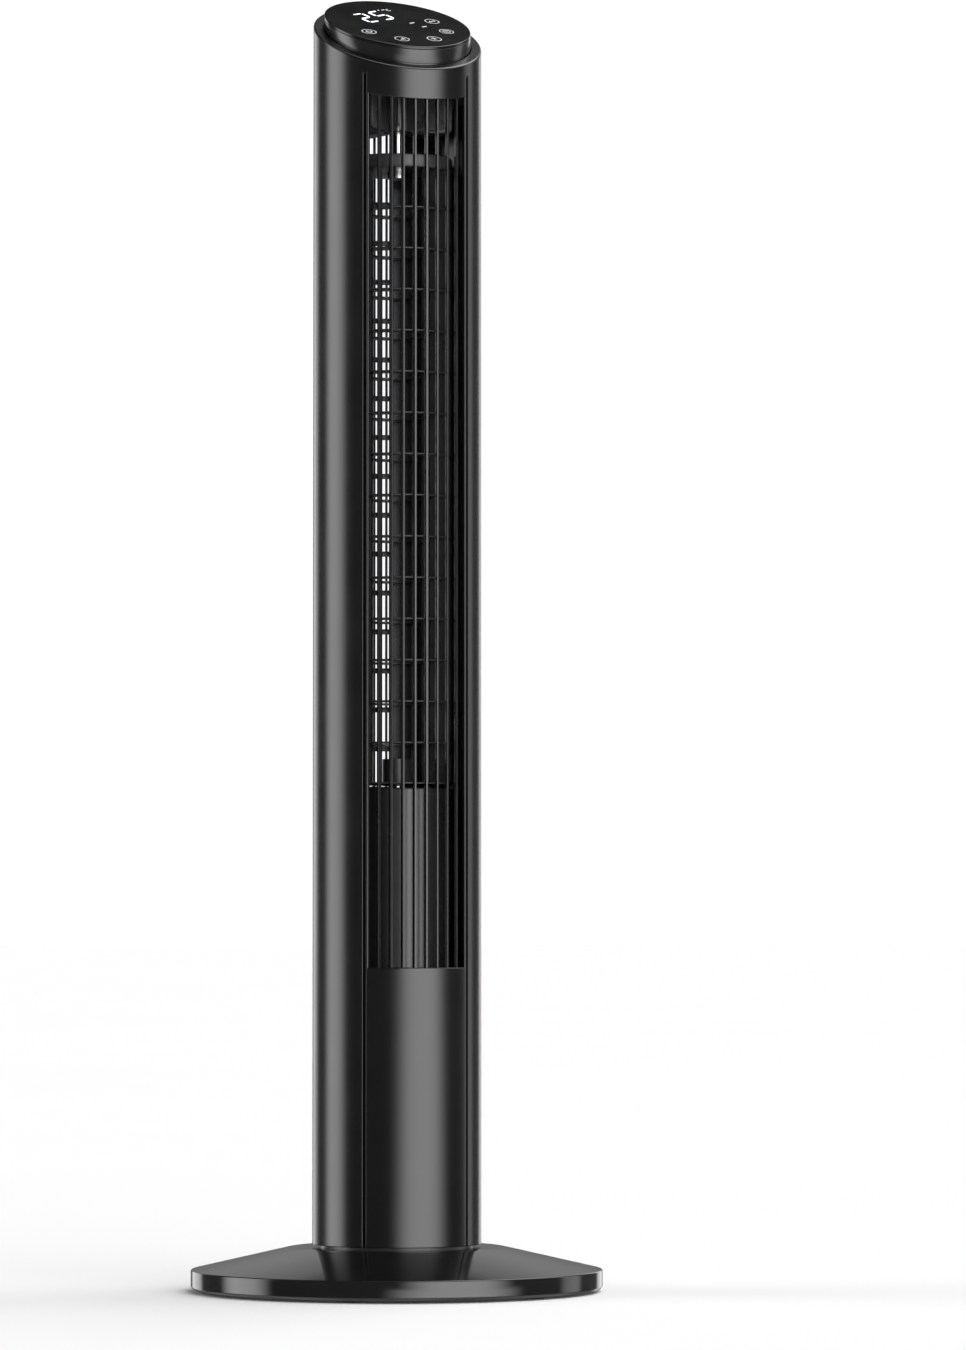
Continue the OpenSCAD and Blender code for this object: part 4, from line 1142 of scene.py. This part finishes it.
# A low light behind to the left, the front light's wider reflection in the floor, and a lit wall behind
# the object that brightens with height
REAR_LEFT = (192, 6, 8, 1.6)
FRONT_BELOW = (17, 2, 43, 5.2)
BACK_WALL = (163, 8, 18, 0.45)
# The light above, tilted to the right: its direction, half width, soft edge and brightness
ABOVE_TOWARD = (0.45, 0.12, 0.885)
ABOVE = (18, 16, 3.6)
SKY = 0.12
UNDER = 0.8


def build_world():
    """A white studio for the camera, and a dark one with upright soft lights for all else."""
    world = bpy.data.worlds.new("studio")
    bpy.context.scene.world = world
    world.use_nodes = True
    nodes, links = world.node_tree.nodes, world.node_tree.links
    nodes.clear()

    def node(kind, operation=None):
        made = nodes.new(kind)
        if operation:
            made.operation = operation
        return made

    ray = node("ShaderNodeTexCoord").outputs["Generated"]
    parts = node("ShaderNodeSeparateXYZ")
    links.new(ray, parts.inputs[0])
    level = node("ShaderNodeVectorMath", "MULTIPLY")
    links.new(ray, level.inputs[0])
    level.inputs[1].default_value = (1, 1, 0)
    unit = node("ShaderNodeVectorMath", "NORMALIZE")
    links.new(level.outputs[0], unit.inputs[0])

    def ramp(source, low_in, high_in, low_out, high_out):
        made = node("ShaderNodeMapRange")
        made.interpolation_type = "SMOOTHSTEP"
        limits = {"From Min": low_in, "From Max": high_in, "To Min": low_out, "To Max": high_out}
        for name, value in limits.items():
            made.inputs[name].default_value = value
        links.new(source, made.inputs["Value"])
        return made.outputs["Result"]

    def total(first, second, operation="ADD"):
        made = node("ShaderNodeMath", operation)
        for socket, value in zip(made.inputs, (first, second)):
            if isinstance(value, (int, float)):
                socket.default_value = value
            else:
                links.new(value, socket)
        return made.outputs[0]

    def upright(degrees, half, soft, brightness):
        return lobe(unit.outputs[0], level_direction(degrees), half, soft, brightness)

    def lobe(source, direction, half, soft, brightness):
        toward = node("ShaderNodeVectorMath", "DOT_PRODUCT")
        links.new(source, toward.inputs[0])
        toward.inputs[1].default_value = direction
        inner, outer = math.cos(math.radians(half)), math.cos(math.radians(half + soft))
        return ramp(toward.outputs["Value"], outer, inner, 0, brightness)

    sides = SKY
    for light in SOFT_LIGHTS:
        sides = total(sides, upright(*light))
    height = parts.outputs["Z"]
    rear = total(upright(*REAR_LEFT), ramp(height, 0.15, 0.2, 1, 0.25), "MULTIPLY")
    sides = total(sides, rear)
    below = total(upright(*FRONT_BELOW), ramp(height, -0.05, -0.01, 1, 0), "MULTIPLY")
    sides = total(sides, below, "MAXIMUM")
    sides = total(sides, ramp(height, 0.35, 0.6, 1, 0.15), "MULTIPLY")
    sides = total(sides, ramp(height, -0.35, -0.15, 0.1, 1), "MULTIPLY")
    wall = total(upright(*BACK_WALL), ramp(height, 0.02, 0.42, 0.18, 1), "MULTIPLY")
    wall = total(wall, ramp(height, 0.49, 0.57, 1, 0), "MULTIPLY")
    above = lobe(ray, Vector(ABOVE_TOWARD).normalized(), *ABOVE)
    under = ramp(height, -0.7, -0.3, UNDER, 0)
    seen = total(total(total(sides, wall), above), under)

    studio = node("ShaderNodeBackground")
    links.new(seen, studio.inputs["Strength"])
    white = node("ShaderNodeBackground")
    white.inputs["Strength"].default_value = 1.05
    for background in (studio, white):
        background.inputs["Color"].default_value = (1, 1, 1, 1)
    path = node("ShaderNodeLightPath")
    mix = node("ShaderNodeMixShader")
    out = node("ShaderNodeOutputWorld")
    links.new(path.outputs["Is Camera Ray"], mix.inputs[0])
    links.new(studio.outputs[0], mix.inputs[1])
    links.new(white.outputs[0], mix.inputs[2])
    links.new(mix.outputs[0], out.inputs[0])


def build_stage():
    mesh = bpy.data.meshes.new("floor")
    far = 60
    corners = [(-far, -far, 0), (far, -far, 0), (far, far, 0), (-far, far, 0)]
    mesh.from_pydata(corners, [], [(0, 1, 2, 3)])
    floor = bpy.data.objects.new("floor", mesh)
    bpy.context.scene.collection.objects.link(floor)
    paint = plastic("floor_paint", (0.89, 0.89, 0.89), 0.9, 3, 0.01, 0.02, 0.004, drift=900)
    mesh.materials.append(paint)
    floor.visible_glossy = False


# The camera's place is in metres and its lens in millimetres
CAMERA_AZIMUTH = 16.64
CAMERA_DISTANCE = 4.9277
CAMERA_HEIGHT = 0.3033
CAMERA_YAW = 0.8185
CAMERA_PITCH = 2.3213
CAMERA_LENS = 160.5


def build_camera():
    """A long lens well in front of the fan, which looks a little right of it and slightly up."""
    azimuth, yaw, pitch = (math.radians(a) for a in (CAMERA_AZIMUTH, CAMERA_YAW, CAMERA_PITCH))
    ahead = Vector((math.sin(azimuth), math.cos(azimuth), 0))
    right = Vector((math.cos(azimuth), -math.sin(azimuth), 0))
    look = (ahead * math.cos(yaw) + right * math.sin(yaw)) * math.cos(pitch)
    look.z = math.sin(pitch)
    data = bpy.data.cameras.new("camera")
    data.lens = CAMERA_LENS
    data.sensor_width = 36
    data.clip_end = 200
    camera = bpy.data.objects.new("camera", data)
    camera.location = -ahead * CAMERA_DISTANCE + Vector((0, 0, CAMERA_HEIGHT))
    camera.rotation_mode = "QUATERNION"
    camera.rotation_quaternion = look.to_track_quat("-Z", "Y")
    bpy.context.scene.collection.objects.link(camera)
    bpy.context.scene.camera = camera
    bpy.context.scene.view_settings.view_transform = "Standard"


build_base()
build_shells()
build_outlet_grille()
build_intake_grille()
build_blower()
build_duct()
build_upper_bracket()
build_panel()
build_screws()
dress_nodes()
build_world()
build_stage()
build_camera()
